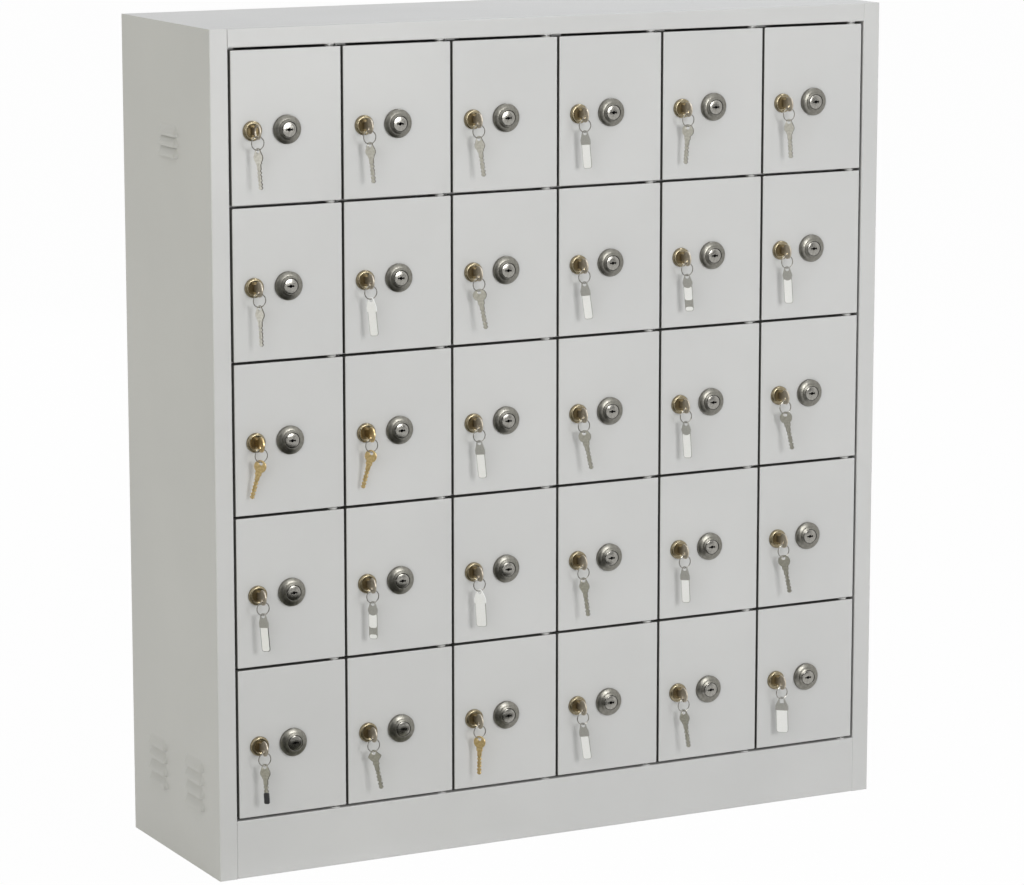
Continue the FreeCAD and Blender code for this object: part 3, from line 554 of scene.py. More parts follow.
@dataclass
class Solid:
    """Points and faces in millimetres, with a coat for each face."""

    points: np.ndarray = field(default_factory=lambda: np.zeros((0, 3)))
    own: np.ndarray = field(default_factory=lambda: np.zeros((0, 3)))
    faces: list[tuple[int, ...]] = field(default_factory=list)
    coats: list[Coat] = field(default_factory=list)

    def add(self, points: Sequence[Sequence[float]], faces: Sequence[Sequence[int]], coat: Coat) -> None:
        """Adds points and faces, counted from the first new point, in one coat."""
        placed = np.array(points, float)
        self.take(Solid(placed, placed, faces, [coat] * len(faces)))

    def take(self, other: "Solid") -> None:
        """Takes in another solid.

        Args:
            other: the solid, which stays as it is.
        """
        start = len(self.points)
        self.points = np.vstack([self.points, other.points])
        self.own = np.vstack([self.own, other.own])
        self.faces += [tuple(start + k for k in face) for face in other.faces]
        self.coats += other.coats

    def rows(self, loops: Sequence[Sequence[Sequence[float]]], coat: Coat) -> None:
        """Joins each closed row of points to the next by a band of faces.

        Args:
            loops: the rows, all with as many points.
            coat: the coat of the bands.
        """
        count = len(loops[0])
        faces = []
        for near in range(0, (len(loops) - 1) * count, count):
            far = near + count
            for i in range(count):
                after = (i + 1) % count
                faces.append((near + i, near + after, far + after, far + i))
        self.add([point for loop in loops for point in loop], faces, coat)

    def cap(self, lie: Lie, level: float, outer: Loop, holes: Sequence[Loop], coat: Coat) -> None:
        """Covers a flat outline at a level."""
        flat, faces = fill(outer, holes)
        self.add([lie.at(point, level) for point in flat], faces, coat)

    def hollow(self, lie: Lie, loop: Loop, levels: Point, wall: Coat, floor: Coat) -> None:
        """Sinks a blind hollow from the level of its mouth to that of its floor."""
        self.rows([[lie.at(point, level) for point in loop] for level in levels], wall)
        self.cap(lie, levels[1], loop, (), floor)

    def sealed(self) -> "Solid":
        """Merges points that lie together, so that the faces share their edges.

        Returns:
            The same solid with no double points or faces without area.
        """
        keys = np.round(self.points, MERGE_DIGITS) + 0.0
        _, first, back = np.unique(keys, axis=0, return_index=True, return_inverse=True)
        back = back.reshape(-1)
        made = Solid(self.points[first], self.own[first])
        for face, coat in zip(self.faces, self.coats):
            corners = list(dict.fromkeys(int(back[k]) for k in face))
            if len(corners) > 2:
                made.faces.append(tuple(corners))
                made.coats.append(coat)
        return made

    def moved(self, place: Matrix) -> "Solid":
        """Gives a copy at a new place, in millimetres, which remembers its place on the part."""
        points = self.points @ np.array(place.to_3x3()).T + np.array(place.translation)
        return Solid(points, self.own, list(self.faces), list(self.coats))

    def joined(self, *others: "Solid") -> "Solid":
        """Puts several solids into one.

        Args:
            others: the solids to put with this one.

        Returns:
            All of them together, each still closed by itself.
        """
        made = Solid()
        for part in (self, *others):
            made.take(part)
        return made

    def mesh(self, name: str) -> bpy.types.Mesh:
        """Makes a mesh in metres.

        Args:
            name: the mesh's name.

        Returns:
            The mesh with its materials, its faces pointing outwards.
        """
        mesh = bpy.data.meshes.new(name)
        mesh.from_pydata((self.points * MM).tolist(), [], self.faces)
        own = mesh.attributes.new("own", "FLOAT_VECTOR", "POINT")
        own.data.foreach_set("vector", self.own.astype(np.float32).ravel())
        used = list(dict.fromkeys(self.coats))
        for coat in used:
            mesh.materials.append(material(coat))
        mesh.polygons.foreach_set("material_index", [used.index(coat) for coat in self.coats])
        work = bmesh.new()
        work.from_mesh(mesh)
        bmesh.ops.recalc_face_normals(work, faces=work.faces)
        work.to_mesh(mesh)
        work.free()
        mesh.polygons.foreach_set("use_smooth", [True] * len(mesh.polygons))
        mesh.set_sharp_from_angle(angle=SMOOTH_UNDER)
        return mesh


def turned(bands: Sequence[tuple[Coat, Loop]], steps: int = ROUND_STEPS) -> Solid:
    """Spins a profile about a lock's axis.

    Args:
        bands: stretches of the profile as (radius, depth) points, each with its coat.
        steps: faces around the axis.

    Returns:
        The turned solid.
    """
    made = Solid()
    spin = circle(1.0, steps)
    for coat, profile in bands:
        made.rows([[(x * radius, depth, z * radius) for x, z in spin] for radius, depth in profile], coat)
    return made.sealed()


@dataclass(frozen=True)
class Recess:
    """A shallow hollow in both faces of a flat piece."""

    loop: Loop
    depth: float
    floor: Coat


def plate(
    lie: Lie,
    outline: Loop,
    holes: Sequence[Loop],
    levels: Point,
    bevel: float,
    coat: Coat,
    recesses: Sequence[Recess] = (),
    edge: Coat | None = None,
) -> Solid:
    """Makes a flat piece with eased edges.

    Args:
        lie: the way it faces.
        outline: its outer edge.
        holes: holes right through it.
        levels: the levels of its two faces.
        bevel: how much its edges are eased.
        coat: its coat.
        recesses: hollows in both faces.
        edge: the coat of its outer edge, where that is another.

    Returns:
        The closed solid.
    """
    low, high = levels
    steps = [(low, bevel), (low + bevel, 0.0), (high - bevel, 0.0), (high, bevel)]
    made = Solid()
    made.rows([[lie.at(point, level) for point in shrunk(outline, by)] for level, by in steps], edge or coat)
    for hole in holes:
        made.rows([[lie.at(point, level) for point in shrunk(hole, -by)] for level, by in steps], coat)
    open_holes = [shrunk(hole, -bevel) for hole in holes] + [recess.loop for recess in recesses]
    for level, inward in ((low, 1.0), (high, -1.0)):
        made.cap(lie, level, shrunk(outline, bevel), open_holes, coat)
        for recess in recesses:
            made.hollow(lie, recess.loop, (level, level + inward * recess.depth), coat, recess.floor)
    return made.sealed()


# Geometry node trees for what repeats or winds


class Growth:
    """A geometry node tree with named inputs, and the meshes grown from it."""

    def __init__(self, name: str, inputs: dict[str, str]) -> None:
        """Starts a tree.

        Args:
            name: the tree's name.
            inputs: socket types by input name, after the geometry.
        """
        self.tree = bpy.data.node_groups.new(name, "GeometryNodeTree")
        self.sockets: dict[str, str] = {}
        self.tree.interface.new_socket("Geometry", in_out="INPUT", socket_type="NodeSocketGeometry")
        for label, kind in {**inputs, "Material": "NodeSocketMaterial"}.items():
            made = self.tree.interface.new_socket(label, in_out="INPUT", socket_type=kind)
            self.sockets[label] = made.identifier
        self.tree.interface.new_socket("Geometry", in_out="OUTPUT", socket_type="NodeSocketGeometry")
        self.entry = self.tree.nodes.new("NodeGroupInput")

    def add(self, kind: str, sockets: Sockets | None = None, **settings: object) -> bpy.types.Node:
        """Adds a node to the tree."""
        return new_node(self.tree, kind, sockets, **settings)

    def close(self, geometry: Socket) -> None:
        """Ends the tree with realised, dressed geometry.

        Args:
            geometry: what the tree has made.
        """
        real = self.add("GeometryNodeRealizeInstances", {"Geometry": geometry}).outputs["Geometry"]
        sockets = {"Geometry": real, "Material": self.entry.outputs["Material"]}
        dressed = self.add("GeometryNodeSetMaterial", sockets)
        self.add("NodeGroupOutput", {"Geometry": dressed.outputs["Geometry"]})

    def grow(self, coat: Coat, base: Solid | None = None, **values: object) -> Solid:
        """Runs the tree once.

        Args:
            coat: the coat of the result.
            base: the solid that the tree works on.
            values: the named inputs.

        Returns:
            The result as a plain solid.
        """
        start = base.mesh("seed") if base else bpy.data.meshes.new("seed")
        if base:
            start.transform(Matrix.Scale(1.0 / MM, 4))
        seed = bpy.data.objects.new("seed", start)
        bpy.context.scene.collection.objects.link(seed)
        modifier = seed.modifiers.new("growth", "NODES")
        modifier.node_group = self.tree
        for label, value in {**values, "Material": material(coat)}.items():
            modifier[self.sockets[label]] = value
        grown = bpy.data.meshes.new_from_object(seed.evaluated_get(bpy.context.evaluated_depsgraph_get()))
        made = Solid()
        made.add([tuple(v.co) for v in grown.vertices], [tuple(p.vertices) for p in grown.polygons], coat)
        seed.modifiers.remove(modifier)
        bpy.data.objects.remove(seed)
        bpy.data.meshes.remove(start)
        bpy.data.meshes.remove(grown)
        return made


def wound_wire() -> Growth:
    """Builds the tree for wire wound about the upright axis.

    Returns:
        A tree with the inputs Radius, Wire, Turns, Rise, Steps and Sides.
    """
    sizes = dict.fromkeys(("Radius", "Wire", "Turns", "Rise"), "NodeSocketFloat")
    counts = dict.fromkeys(("Steps", "Sides"), "NodeSocketInt")
    tree = Growth("wound_wire", {**sizes, **counts})
    entry = tree.entry.outputs
    path = {
        "Resolution": entry["Steps"],
        "Rotations": entry["Turns"],
        "Start Radius": entry["Radius"],
        "End Radius": entry["Radius"],
        "Height": entry["Rise"],
    }
    spiral = tree.add("GeometryNodeCurveSpiral", path).outputs["Curve"]
    ring = {"Resolution": entry["Sides"], "Radius": entry["Wire"]}
    section = tree.add("GeometryNodeCurvePrimitiveCircle", ring).outputs["Curve"]
    sweep = {"Curve": spiral, "Profile Curve": section, "Fill Caps": True}
    tree.close(tree.add("GeometryNodeCurveToMesh", sweep).outputs["Mesh"])
    return tree


def row_of_copies() -> Growth:
    """Builds the tree for equal copies in a straight row.

    Returns:
        A tree with the inputs Count, First, Step and Turn, the turn of each copy from the one before.
    """
    vectors = dict.fromkeys(("First", "Step", "Turn"), "NodeSocketVector")
    tree = Growth("row_of_copies", {"Count": "NodeSocketInt", **vectors})
    entry = tree.entry.outputs
    spots = {"Count": entry["Count"], "Start Location": entry["First"], "Offset": entry["Step"]}
    line = tree.add("GeometryNodeMeshLine", spots).outputs["Mesh"]
    number = tree.add("GeometryNodeInputIndex").outputs["Index"]
    turns = tree.add("ShaderNodeVectorMath", {0: entry["Turn"], "Scale": number}, operation="SCALE")
    copies = {"Points": line, "Instance": entry["Geometry"], "Rotation": turns.outputs[0]}
    tree.close(tree.add("GeometryNodeInstanceOnPoints", copies).outputs["Instances"])
    return tree


WIRE = wound_wire()
ROW = row_of_copies()


def stacked(base: Solid, coat: Coat, count: int, first: Place, rise: float, roll: float = 0.0) -> Solid:
    """Sets equal copies of a solid above one another, each rolled on about X from the one below."""
    return ROW.grow(coat, base, Count=count, First=first, Step=(0.0, 0.0, rise), Turn=(roll, 0.0, 0.0))


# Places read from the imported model


def box_of(node: str) -> tuple[Vector, Vector]:
    """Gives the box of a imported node, in millimetres."""
    low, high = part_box(node)
    return low / MM, high / MM


PIVOTS = {joint["child"]: Vector(joint["pos_m"]) / MM for joint in frame["joints"]}
DOORS = sorted(body for body in frame["bodies"] if body.startswith("door_"))


def spot_of(door: str) -> str:
    """Gives the row and column in a door's name."""
    return door.removeprefix("door_")


def step_to(door: str) -> Vector:
    """Gives the way from the sample door to another."""
    return PIVOTS[door] - PIVOTS[f"door_{SAMPLE}"]


def show(name: str, mesh: bpy.types.Mesh, body: str, nodes: Sequence[str]) -> None:
    """Puts a finished piece on its body.

    Args:
        name: the piece's name.
        mesh: its mesh, in place.
        body: the body that it moves with.
        nodes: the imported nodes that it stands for.
    """
    piece = bpy.data.objects.new(name, mesh)
    bpy.context.scene.collection.objects.link(piece)
    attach(piece, body)
    if nodes:
        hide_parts(*nodes)
    LOG.info("%s rides on %s, %d faces", name, body, len(mesh.polygons))


# Door panel


@dataclass(frozen=True)
class DoorPanel:
    """A door: a shallow folded tray with two lock holes, and the bushes it turns on."""

    low: Vector
    high: Vector
    lock_holes: Sequence[Point]
    pivot: Vector
    sheet: float = 1.2
    bend: float = 1.1
    bend_steps: int = 5
    least_bend: float = 0.05
    edge_land: float = 0.3
    hole_radius: float = 9.7
    bush_radius: float = 4.0
    bush_flange_radius: float = 5.0
    bush_flange: float = 0.7
    bush_length: float = 4.9
    bush_bore: float = 2.55
    bush_ease: float = 0.15

    @classmethod
    def from_frame(cls) -> "DoorPanel":
        """Reads the sample door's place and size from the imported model.

        Returns:
            The sample door.
        """
        low, high = box_of(f"door_{SAMPLE}")
        lift = Vector((0.0, 0.0, cls.bush_flange))
        holes = [(PIVOTS[lock].x, PIVOTS[lock].z) for lock in ("user_lock", "control_lock")]
        return cls(low + lift, high - lift, holes, PIVOTS[f"door_{SAMPLE}"])

    def edge(self, inset: float) -> Loop:
        """Gives the door's outline.

        Args:
            inset: how far it is drawn in.

        Returns:
            The closed outline.
        """
        low = (self.low.x + inset, self.low.z + inset)
        high = (self.high.x - inset, self.high.z - inset)
        return rounded(low, high, max(self.bend - inset, self.least_bend), CORNER_STEPS)

    def ring(self, inset: float, depth: float) -> list[Place]:
        """Gives a closed row round the tray, drawn in by inset and at a depth behind the front."""
        return [Lie.FORWARD.at(point, self.low.y + depth) for point in self.edge(inset)]

    def tray(self) -> Solid:
        """Folds the sheet.

        Returns:
            The powder-coated tray, with painted shade on the outside of its flanges.
        """
        depth = self.high.y - self.low.y
        bends = arc((self.bend, self.bend), self.bend, 180.0, 270.0, self.bend_steps)
        outer = [(0.0, depth), *bends, (self.bend + self.edge_land, 0.0)]
        inner = [(self.sheet, depth), (self.sheet, self.sheet), (self.sheet + self.edge_land, self.sheet)]
        holes = [circle(self.hole_radius, ROUND_STEPS, centre) for centre in self.lock_holes]
        made = Solid()
        # The outside of the flanges gets the near-black coat: painted shade in the gaps between doors
        made.rows([self.ring(*step) for step in outer[:3]], Coat.EDGE)
        for row in (outer[2:], inner):
            made.rows([self.ring(*step) for step in row], Coat.PAINT)
            inset, level = row[-1]
            made.cap(Lie.FORWARD, self.low.y + level, self.edge(inset), holes, Coat.PAINT)
        made.rows([self.ring(*outer[0]), self.ring(*inner[0])], Coat.PAINT)
        for hole in holes:
            levels = (self.low.y, self.low.y + self.sheet)
            made.rows([[Lie.FORWARD.at(point, level) for point in hole] for level in levels], Coat.PAINT)
        return made.sealed()

    def bushes(self) -> Solid:
        """Sets a flanged bush in the lower and the upper edge.

        Returns:
            The two bushes.
        """
        profile = [
            (self.bush_bore, 0.0),
            (self.bush_flange_radius - self.bush_ease, 0.0),
            (self.bush_flange_radius, self.bush_ease),
            (self.bush_flange_radius, self.bush_flange),
            (self.bush_radius, self.bush_flange),
            (self.bush_radius, self.bush_length - self.bush_ease),
            (self.bush_radius - self.bush_ease, self.bush_length),
            (self.bush_bore, self.bush_length),
            (self.bush_bore, 0.0),
        ]
        bush = turned([(Coat.NYLON, profile)], BARREL_STEPS).moved(turn(90.0, "X"))
        first = (self.pivot.x, self.pivot.y, self.low.z - self.bush_flange)
        rise = self.high.z - self.low.z + 2.0 * self.bush_flange
        return stacked(bush, Coat.NYLON, 2, first, rise, math.pi)


# Locks


def eased(radius: float, depth: float, ease: float, near: float = 0.3) -> Loop:
    """Rounds the front corner of a turned part, from its face out to its side."""
    return [(radius - ease, depth), (radius - ease * near, depth + ease * near), (radius, depth + ease)]


@dataclass(frozen=True)
class CamLock:
    """What both locks share: a threaded barrel, nut, cam and screw, drawn about the lock's axis."""

    axis: Vector
    face_radius: float
    proud: float
    barrel_end: float
    plug_end: float
    cam_front: float
    cam_back: float
    cam_length: float
    boss_radius: float
    screw_end: float
    door_sheet: float = 1.2
    barrel_radius: float = 9.5
    barrel_ease: float = 0.4
    thread_depth: float = 0.35
    thread_pitch: float = 1.25
    thread_steps: int = 24
    thread_sides: int = 4
    plug_radius: float = 6.0
    plug_gap: float = 0.05
    tail_radius: float = 3.5
    nut_radius: float = 13.5
    nut_height: float = 4.0
    nut_ease: float = 0.4
    cam_half_width: float = 6.0
    cam_ease: float = 0.3
    screw_radius: float = 4.0
    screw_ease: float = 0.6
    shank_radius: float = 1.5
    shank_stub: float = 1.0
    cross_arm: float = 2.1
    cross_half: float = 0.45
    cross_depth: float = 1.2
    keyway_depth: float = 12.0

    @classmethod
    def from_frame(cls, lock: str, screw: str) -> "CamLock":
        """Reads a lock's sizes from the sample door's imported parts.

        Args:
            lock: the start of the lock's node names.
            screw: the node name of its cam screw.

        Returns:
            The lock.
        """
        axis = PIVOTS[lock]
        housing_low, housing_high = box_of(f"{lock}_housing")
        cam_low, cam_high = box_of(f"{lock}_cam")
        return cls(
            axis=axis,
            face_radius=(housing_high.x - housing_low.x) / 2.0,
            proud=axis.y - housing_low.y,
            barrel_end=housing_high.y - axis.y,
            plug_end=box_of(f"{lock}_plug")[1].y - axis.y,
            cam_front=cam_low.y - axis.y,
            cam_back=cam_high.y - axis.y,
            cam_length=axis.z - cam_low.z,
            boss_radius=(cam_high.x - cam_low.x) / 2.0,
            screw_end=box_of(screw)[1].y - axis.y,
        )

    def placed(self, solid: Solid) -> Solid:
        """Moves a part from the lock's axis to its place on the sample door."""
        return solid.moved(Matrix.Translation(self.axis))

    def bore(self) -> float:
        """Gives the radius of the bore that the plug turns in."""
        return self.plug_radius + self.plug_gap

    def barrel(self, start: float) -> Loop:
        """Gives the barrel's profile.

        Args:
            start: the depth that it begins at.

        Returns:
            The profile to the barrel's end and in to its bore.
        """
        core = self.barrel_radius - self.thread_depth
        return [
            (self.barrel_radius, start),
            (self.barrel_radius, self.door_sheet),
            (core, self.door_sheet),
            (core, self.barrel_end - self.barrel_ease),
            (core - self.barrel_ease, self.barrel_end),
            (self.bore(), self.barrel_end),
        ]

    def thread(self, coat: Coat) -> Solid:
        """Winds the barrel's thread.

        Args:
            coat: the barrel's coat.

        Returns:
            A ridge round the barrel.
        """
        run = self.barrel_end - self.door_sheet - 2.0 * self.thread_pitch
        ridge = WIRE.grow(
            coat,
            Radius=self.barrel_radius - self.thread_depth,
            Wire=self.thread_depth,
            Turns=run / self.thread_pitch,
            Rise=run,
            Steps=self.thread_steps,
            Sides=self.thread_sides,
        )
        start = Matrix.Translation((0.0, self.door_sheet + self.thread_pitch, 0.0))
        return ridge.moved(start @ turn(-90.0, "X"))

    def nut(self) -> Solid:
        """Makes the hexagon nut behind the door's sheet.

        Returns:
            The nut on the barrel.
        """
        levels = (self.door_sheet, self.door_sheet + self.nut_height)
        hole = circle(self.barrel_radius + self.plug_gap, BARREL_STEPS)
        hexagon = circle(self.nut_radius, 6)
        return self.placed(plate(Lie.FORWARD, hexagon, [hole], levels, self.nut_ease, Coat.ZINC))

    def cam(self) -> Solid:
        """Makes the flat cam.

        Returns:
            The cam, which hangs straight down.
        """
        tip = (0.0, self.cam_half_width - self.cam_length)
        meet = math.degrees(math.asin(self.cam_half_width / self.boss_radius))
        outline = arc(ORIGIN, self.boss_radius, meet - 90.0, 270.0 - meet, SCREW_STEPS)
        outline += arc(tip, self.cam_half_width, 180.0, 360.0, 16)
        hole = circle(self.tail_radius, HOLE_STEPS)
        levels = (self.cam_front, self.cam_back)
        return self.placed(plate(Lie.FORWARD, outline, [hole], levels, self.cam_ease, Coat.ZINC))

    def screw(self) -> Solid:
        """Makes the cam screw with its cross recess.

        Returns:
            The screw's head and the stub of its shank.
        """
        stub = self.cam_back - self.shank_stub
        rim = self.screw_radius - self.screw_ease
        profile = [
            (0.0, stub),
            (self.shank_radius, stub),
            (self.shank_radius, self.cam_back),
            (self.screw_radius, self.cam_back),
            (self.screw_radius, self.screw_end - self.screw_ease),
            (rim, self.screw_end),
        ]
        arm, half = self.cross_arm, self.cross_half
        quarters = ((1, 0), (0, 1), (-1, 0), (0, -1))
        arm_end = ((arm, -half), (arm, half), (half, half))
        cross = [(c * x - s * z, s * x + c * z) for c, s in quarters for x, z in arm_end]
        head = turned([(Coat.ZINC, profile)], SCREW_STEPS)
        head.cap(Lie.FORWARD, self.screw_end, circle(rim, SCREW_STEPS), [cross], Coat.ZINC)
        levels = (self.screw_end, self.screw_end - self.cross_depth)
        # The cross recess has a floor of painted shade
        head.hollow(Lie.FORWARD, cross, levels, Coat.ZINC, Coat.SHADE)
        return self.placed(head.sealed())

    def keyed(self, front: Loop, keyway: Loop, coat: Coat) -> Solid:
        """Turns a plug and sinks its keyway.

        Args:
            front: the profile from the rim of its face to the start of its shaft.
            keyway: the outline of the keyway.
            coat: its coat.

        Returns:
            The plug in its place.
        """
        rim, face = front[0]
        shaft = [
            (self.plug_radius, front[-1][1]),
            (self.plug_radius, self.cam_front),
            (self.tail_radius, self.cam_front),
            (self.tail_radius, self.plug_end),
            (0.0, self.plug_end),
        ]
        made = turned([(coat, front + shaft)])
        made.cap(Lie.FORWARD, face, circle(rim), [keyway], coat)
        # The keyway's walls and floor are near-black painted shade
        made.hollow(Lie.FORWARD, keyway, (face, face + self.keyway_depth), Coat.SHADE, Coat.SHADE)
        return self.placed(made.sealed())


@dataclass(frozen=True)
class UserLock(CamLock):
    """The brass lock at the left of a door."""

    dish_radius: float = 6.9
    dish_depth: float = 1.5
    rim_peak: float = 9.35
    side_height: float = 1.7
    plug_ease: float = 0.25
    keyway_half_width: float = 1.15
    keyway_half_height: float = 3.9
    keyway_corner: float = 0.35

    def housing(self) -> Solid:
        """Turns the barrel with its domed rim and the dish inside it.

        Returns:
            The housing with its thread.
        """
        floor = self.dish_depth - self.proud
        shoulder = self.face_radius - self.rim_peak
        crown = self.side_height - self.proud
        outside = arc((self.rim_peak, -self.side_height), shoulder, 0.0, 90.0, BEND_STEPS, crown)
        flank = self.dish_radius - self.rim_peak
        within = arc((self.rim_peak, floor), flank, 90.0, 0.0, 8, -self.dish_depth)
        bore = self.bore()
        body = turned(
            [
                (Coat.BRASS, [(self.barrel_radius, 0.0), (self.face_radius, 0.0), *outside, *within]),
                # The dish floor and bore are in the darker brass: painted shade in the recess
                (Coat.BRASS_DISH_SHADE, [within[-1], (bore, floor), (bore, self.barrel_end)]),
                (Coat.BRASS, self.barrel(0.0)),
            ]
        )
        return self.placed(body.joined(self.thread(Coat.BRASS)))

    def plug(self) -> Solid:
        """Turns the plug with its upright keyway.

        Returns:
            The plug, flush with the floor of the dish.
        """
        face = self.dish_depth - self.proud
        half = (self.keyway_half_width, self.keyway_half_height)
        keyway = rounded((-half[0], -half[1]), half, self.keyway_corner, CORNER_STEPS)
        front = [(self.plug_radius - self.plug_ease, face), (self.plug_radius, face + self.plug_ease)]
        # The plug face in the dish is in the darker brass: painted shade in the recess
        return self.keyed(front, keyway, Coat.BRASS_DISH_SHADE)


@dataclass(frozen=True)
class ControlLock(CamLock):
    """The steel lock in the middle of a door, on a conical rose."""

    rose_radius: float = 17.0
    rose_top_radius: float = 12.7
    rose_rim: float = 4.0
    rose_height: float = 6.0
    rose_gap: float = 0.2
    rose_steps: int = 72
    rim_round: float = 1.0
    rim_sweep: float = 66.0
    cap_radius: float = 8.8
    cap_setback: float = 0.2
    cap_height: float = 1.7
    cap_gap: float = 0.05
    groove: float = 0.45
    ring_slope: float = 0.9
    ring_ease: float = 0.5
    ring_lip: Sequence[Point] = ((0.5, 0.0), (0.1, 0.25), (0.0, 0.6))
    keyway_half_length: float = 4.4
    keyway_half_width: float = 0.8
    keyway_core: float = 1.9
    keyway_corner: float = 0.4
    flare_start: float = 1.6
    flare_peak: float = 0.9
    flare: float = 1.6

    def rose(self) -> Solid:
        """Spins the rose, a drum with a round edge and a shallow cone on it.

        Returns:
            The rose.
        """
        centre = (self.rose_radius - self.rim_round, self.rim_round)
        rounding = arc(centre, self.rim_round, 0.0, self.rim_sweep, 7)
        lift = self.rose_rim - self.rim_round
        edge = [(radius, -lift - (rise - self.rim_round)) for radius, rise in rounding]
        bore = self.barrel_radius + self.rose_gap
        top = (self.rose_top_radius, -self.rose_height)
        profile = [(bore, 0.0), (self.rose_radius, 0.0), *edge, top, (bore, -self.rose_height), (bore, 0.0)]
        return self.placed(turned([(Coat.STEEL_SATIN, profile)], self.rose_steps))

    def housing(self) -> Solid:
        """Turns the raised ring and the barrel behind it.

        Returns:
            The housing with its thread.
        """
        inner = self.cap_radius + self.groove
        floor = self.cap_setback + self.cap_height - self.proud
        bore = self.bore()
        ring = [
            (self.barrel_radius, -self.rose_height),
            (self.face_radius, -self.rose_height),
            *reversed(eased(self.face_radius, self.ring_slope - self.proud, self.ring_ease)),
            *[(inner + across, depth - self.proud) for across, depth in self.ring_lip],
        ]
        body = turned(
            [
                (Coat.STEEL_SATIN, ring),
                # The groove round the plug and the bore are near-black painted shade
                (Coat.SHADE, [ring[-1], (inner, floor), (bore, floor), (bore, self.barrel_end)]),
                (Coat.ZINC, self.barrel(-self.rose_height)),
            ]
        )
        return self.placed(body.joined(self.thread(Coat.ZINC)))

    def plug(self) -> Solid:
        """Turns the capped plug with its level keyway.

        Returns:
            The plug.
        """
        face = self.cap_setback - self.proud
        back = face + self.cap_height - self.cap_gap
        front = [*eased(self.cap_radius, face, self.ring_ease), (self.cap_radius, back)]
        return self.keyed(front, self.keyway(), Coat.STEEL_BRIGHT)

    def keyway(self) -> Loop:
        """Draws the keyway: a slot with a round core and a wider end.

        Returns:
            The closed outline.
        """
        core = math.degrees(math.asin(self.keyway_half_width / self.keyway_core))
        end = self.keyway_half_length
        half = self.keyway_half_width
        corner = self.keyway_corner
        blunt = [(-end + corner, half), (-end, half - corner)]
        outline = arc(ORIGIN, self.keyway_core, core, 180.0 - core, BEND_STEPS) + blunt + flipped(blunt)
        outline += arc(ORIGIN, self.keyway_core, 180.0 + core, 360.0 - core, BEND_STEPS)
        flared = [(end - self.flare_start, -half), (end - self.flare_peak, -half * self.flare), (end, -half)]
        return outline + flared + flipped(flared)


# Keys, rings and tags


def about_middle(sheet: float) -> Point:
    """Gives the levels of both faces of a sheet about its middle."""
    return -sheet / 2.0, sheet / 2.0


@dataclass(frozen=True)
class LockKey:
    """The flat key that stands in the user lock, edge on.

    The sample door's key turns, so a wide hole about the axis lets the ring stay below it. The other
    keys have a disc for a bow, with a small hole.
    """

    axis: Vector
    sheet: float
    bow_radius: float
    bow_front: float
    tip: float
    hole_radius: float = 6.0
    still_hole_radius: float = 2.6
    shoulder_half_height: float = 4.4
    blade_half_height: float = 3.4
    tip_cut: float = 1.0
    stop: float = -2.8
    ease: float = 0.45

    @classmethod
    def from_frame(cls) -> "LockKey":
        """Reads the key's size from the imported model.

        Returns:
            The key.
        """
        low, high = box_of("user_key")
        axis = PIVOTS["user_lock"]
        return cls(axis, high.x - low.x, (high.z - low.z) / 2.0, low.y - axis.y, high.y - axis.y)

    def solid(self, coat: Coat, turns: bool) -> Solid:
        """Cuts the key from flat stock.

        Args:
            coat: its metal.
            turns: whether it is the key that turns.

        Returns:
            The key in the sample door's lock.
        """
        centre = (self.bow_front + self.bow_radius, 0.0)
        meet = math.degrees(math.asin(self.shoulder_half_height / self.bow_radius))
        under = [
            (self.stop, -self.shoulder_half_height),
            (self.stop, -self.blade_half_height),
            (self.tip - self.tip_cut, -self.blade_half_height),
            (self.tip, self.tip_cut - self.blade_half_height),
        ]
        outline = arc(centre, self.bow_radius, meet, 360.0 - meet, 40) + under + flipped(under)
        hole = circle(self.hole_radius, 32, centre)
        if not turns:
            drop = self.hole_radius - self.still_hole_radius
            hole = circle(self.still_hole_radius, HOLE_STEPS, (centre[0], -drop))
        made = plate(Lie.ACROSS, outline, [hole], about_middle(self.sheet), self.ease, coat)
        return made.moved(Matrix.Translation(self.axis))


@dataclass(frozen=True)
class SplitRing:
    """The wire ring on a key: two turns side by side."""

    centre: Vector
    radius: float
    half_width: float
    wire: float = 0.62
    turns: float = 1.97
    steps: int = 40
    sides: int = 8

    @classmethod
    def from_frame(cls) -> "SplitRing":
        """Reads the ring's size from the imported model.

        Returns:
            The ring.
        """
        low, high = box_of("key_ring")
        half_width = (high.y - low.y) / 2.0
        return cls((low + high) / 2.0, (high.x - low.x) / 2.0 - half_width, half_width)

    def solid(self) -> Solid:
        """Winds the ring.

        Returns:
            The ring on the sample door's key.
        """
        rise = 2.0 * (self.half_width - self.wire)
        sizes = {"Radius": self.radius, "Wire": self.wire, "Turns": self.turns, "Rise": rise}
        wound = WIRE.grow(Coat.RING_STEEL, Steps=self.steps, Sides=self.sides, **sizes)
        start = Matrix.Translation(self.centre + Vector((0.0, rise / 2.0, 0.0)))
        return wound.moved(start @ turn(90.0, "X"))


@dataclass(frozen=True)
class Hanger:
    """A flat piece that hangs on a ring by its hole, drawn about the ring's lowest point."""

    top: float = 2.4
    sheet: float = 1.8
    hole_radius: float = 2.4
    hole_rim: float = 1.4

    def hole_level(self) -> float:
        """Gives the level of the middle of the hole."""
        return self.top - self.hole_rim - self.hole_radius

    def hole(self) -> Loop:
        """Gives the outline of the round hole."""
        return circle(self.hole_radius, HOLE_STEPS, (0.0, self.hole_level()))


class Bow(Enum):
    """The shape of a hanging key's bow."""

    EGG = "egg"
    ROUND = "round"
    OVAL = "oval"
    DIAMOND = "diamond"


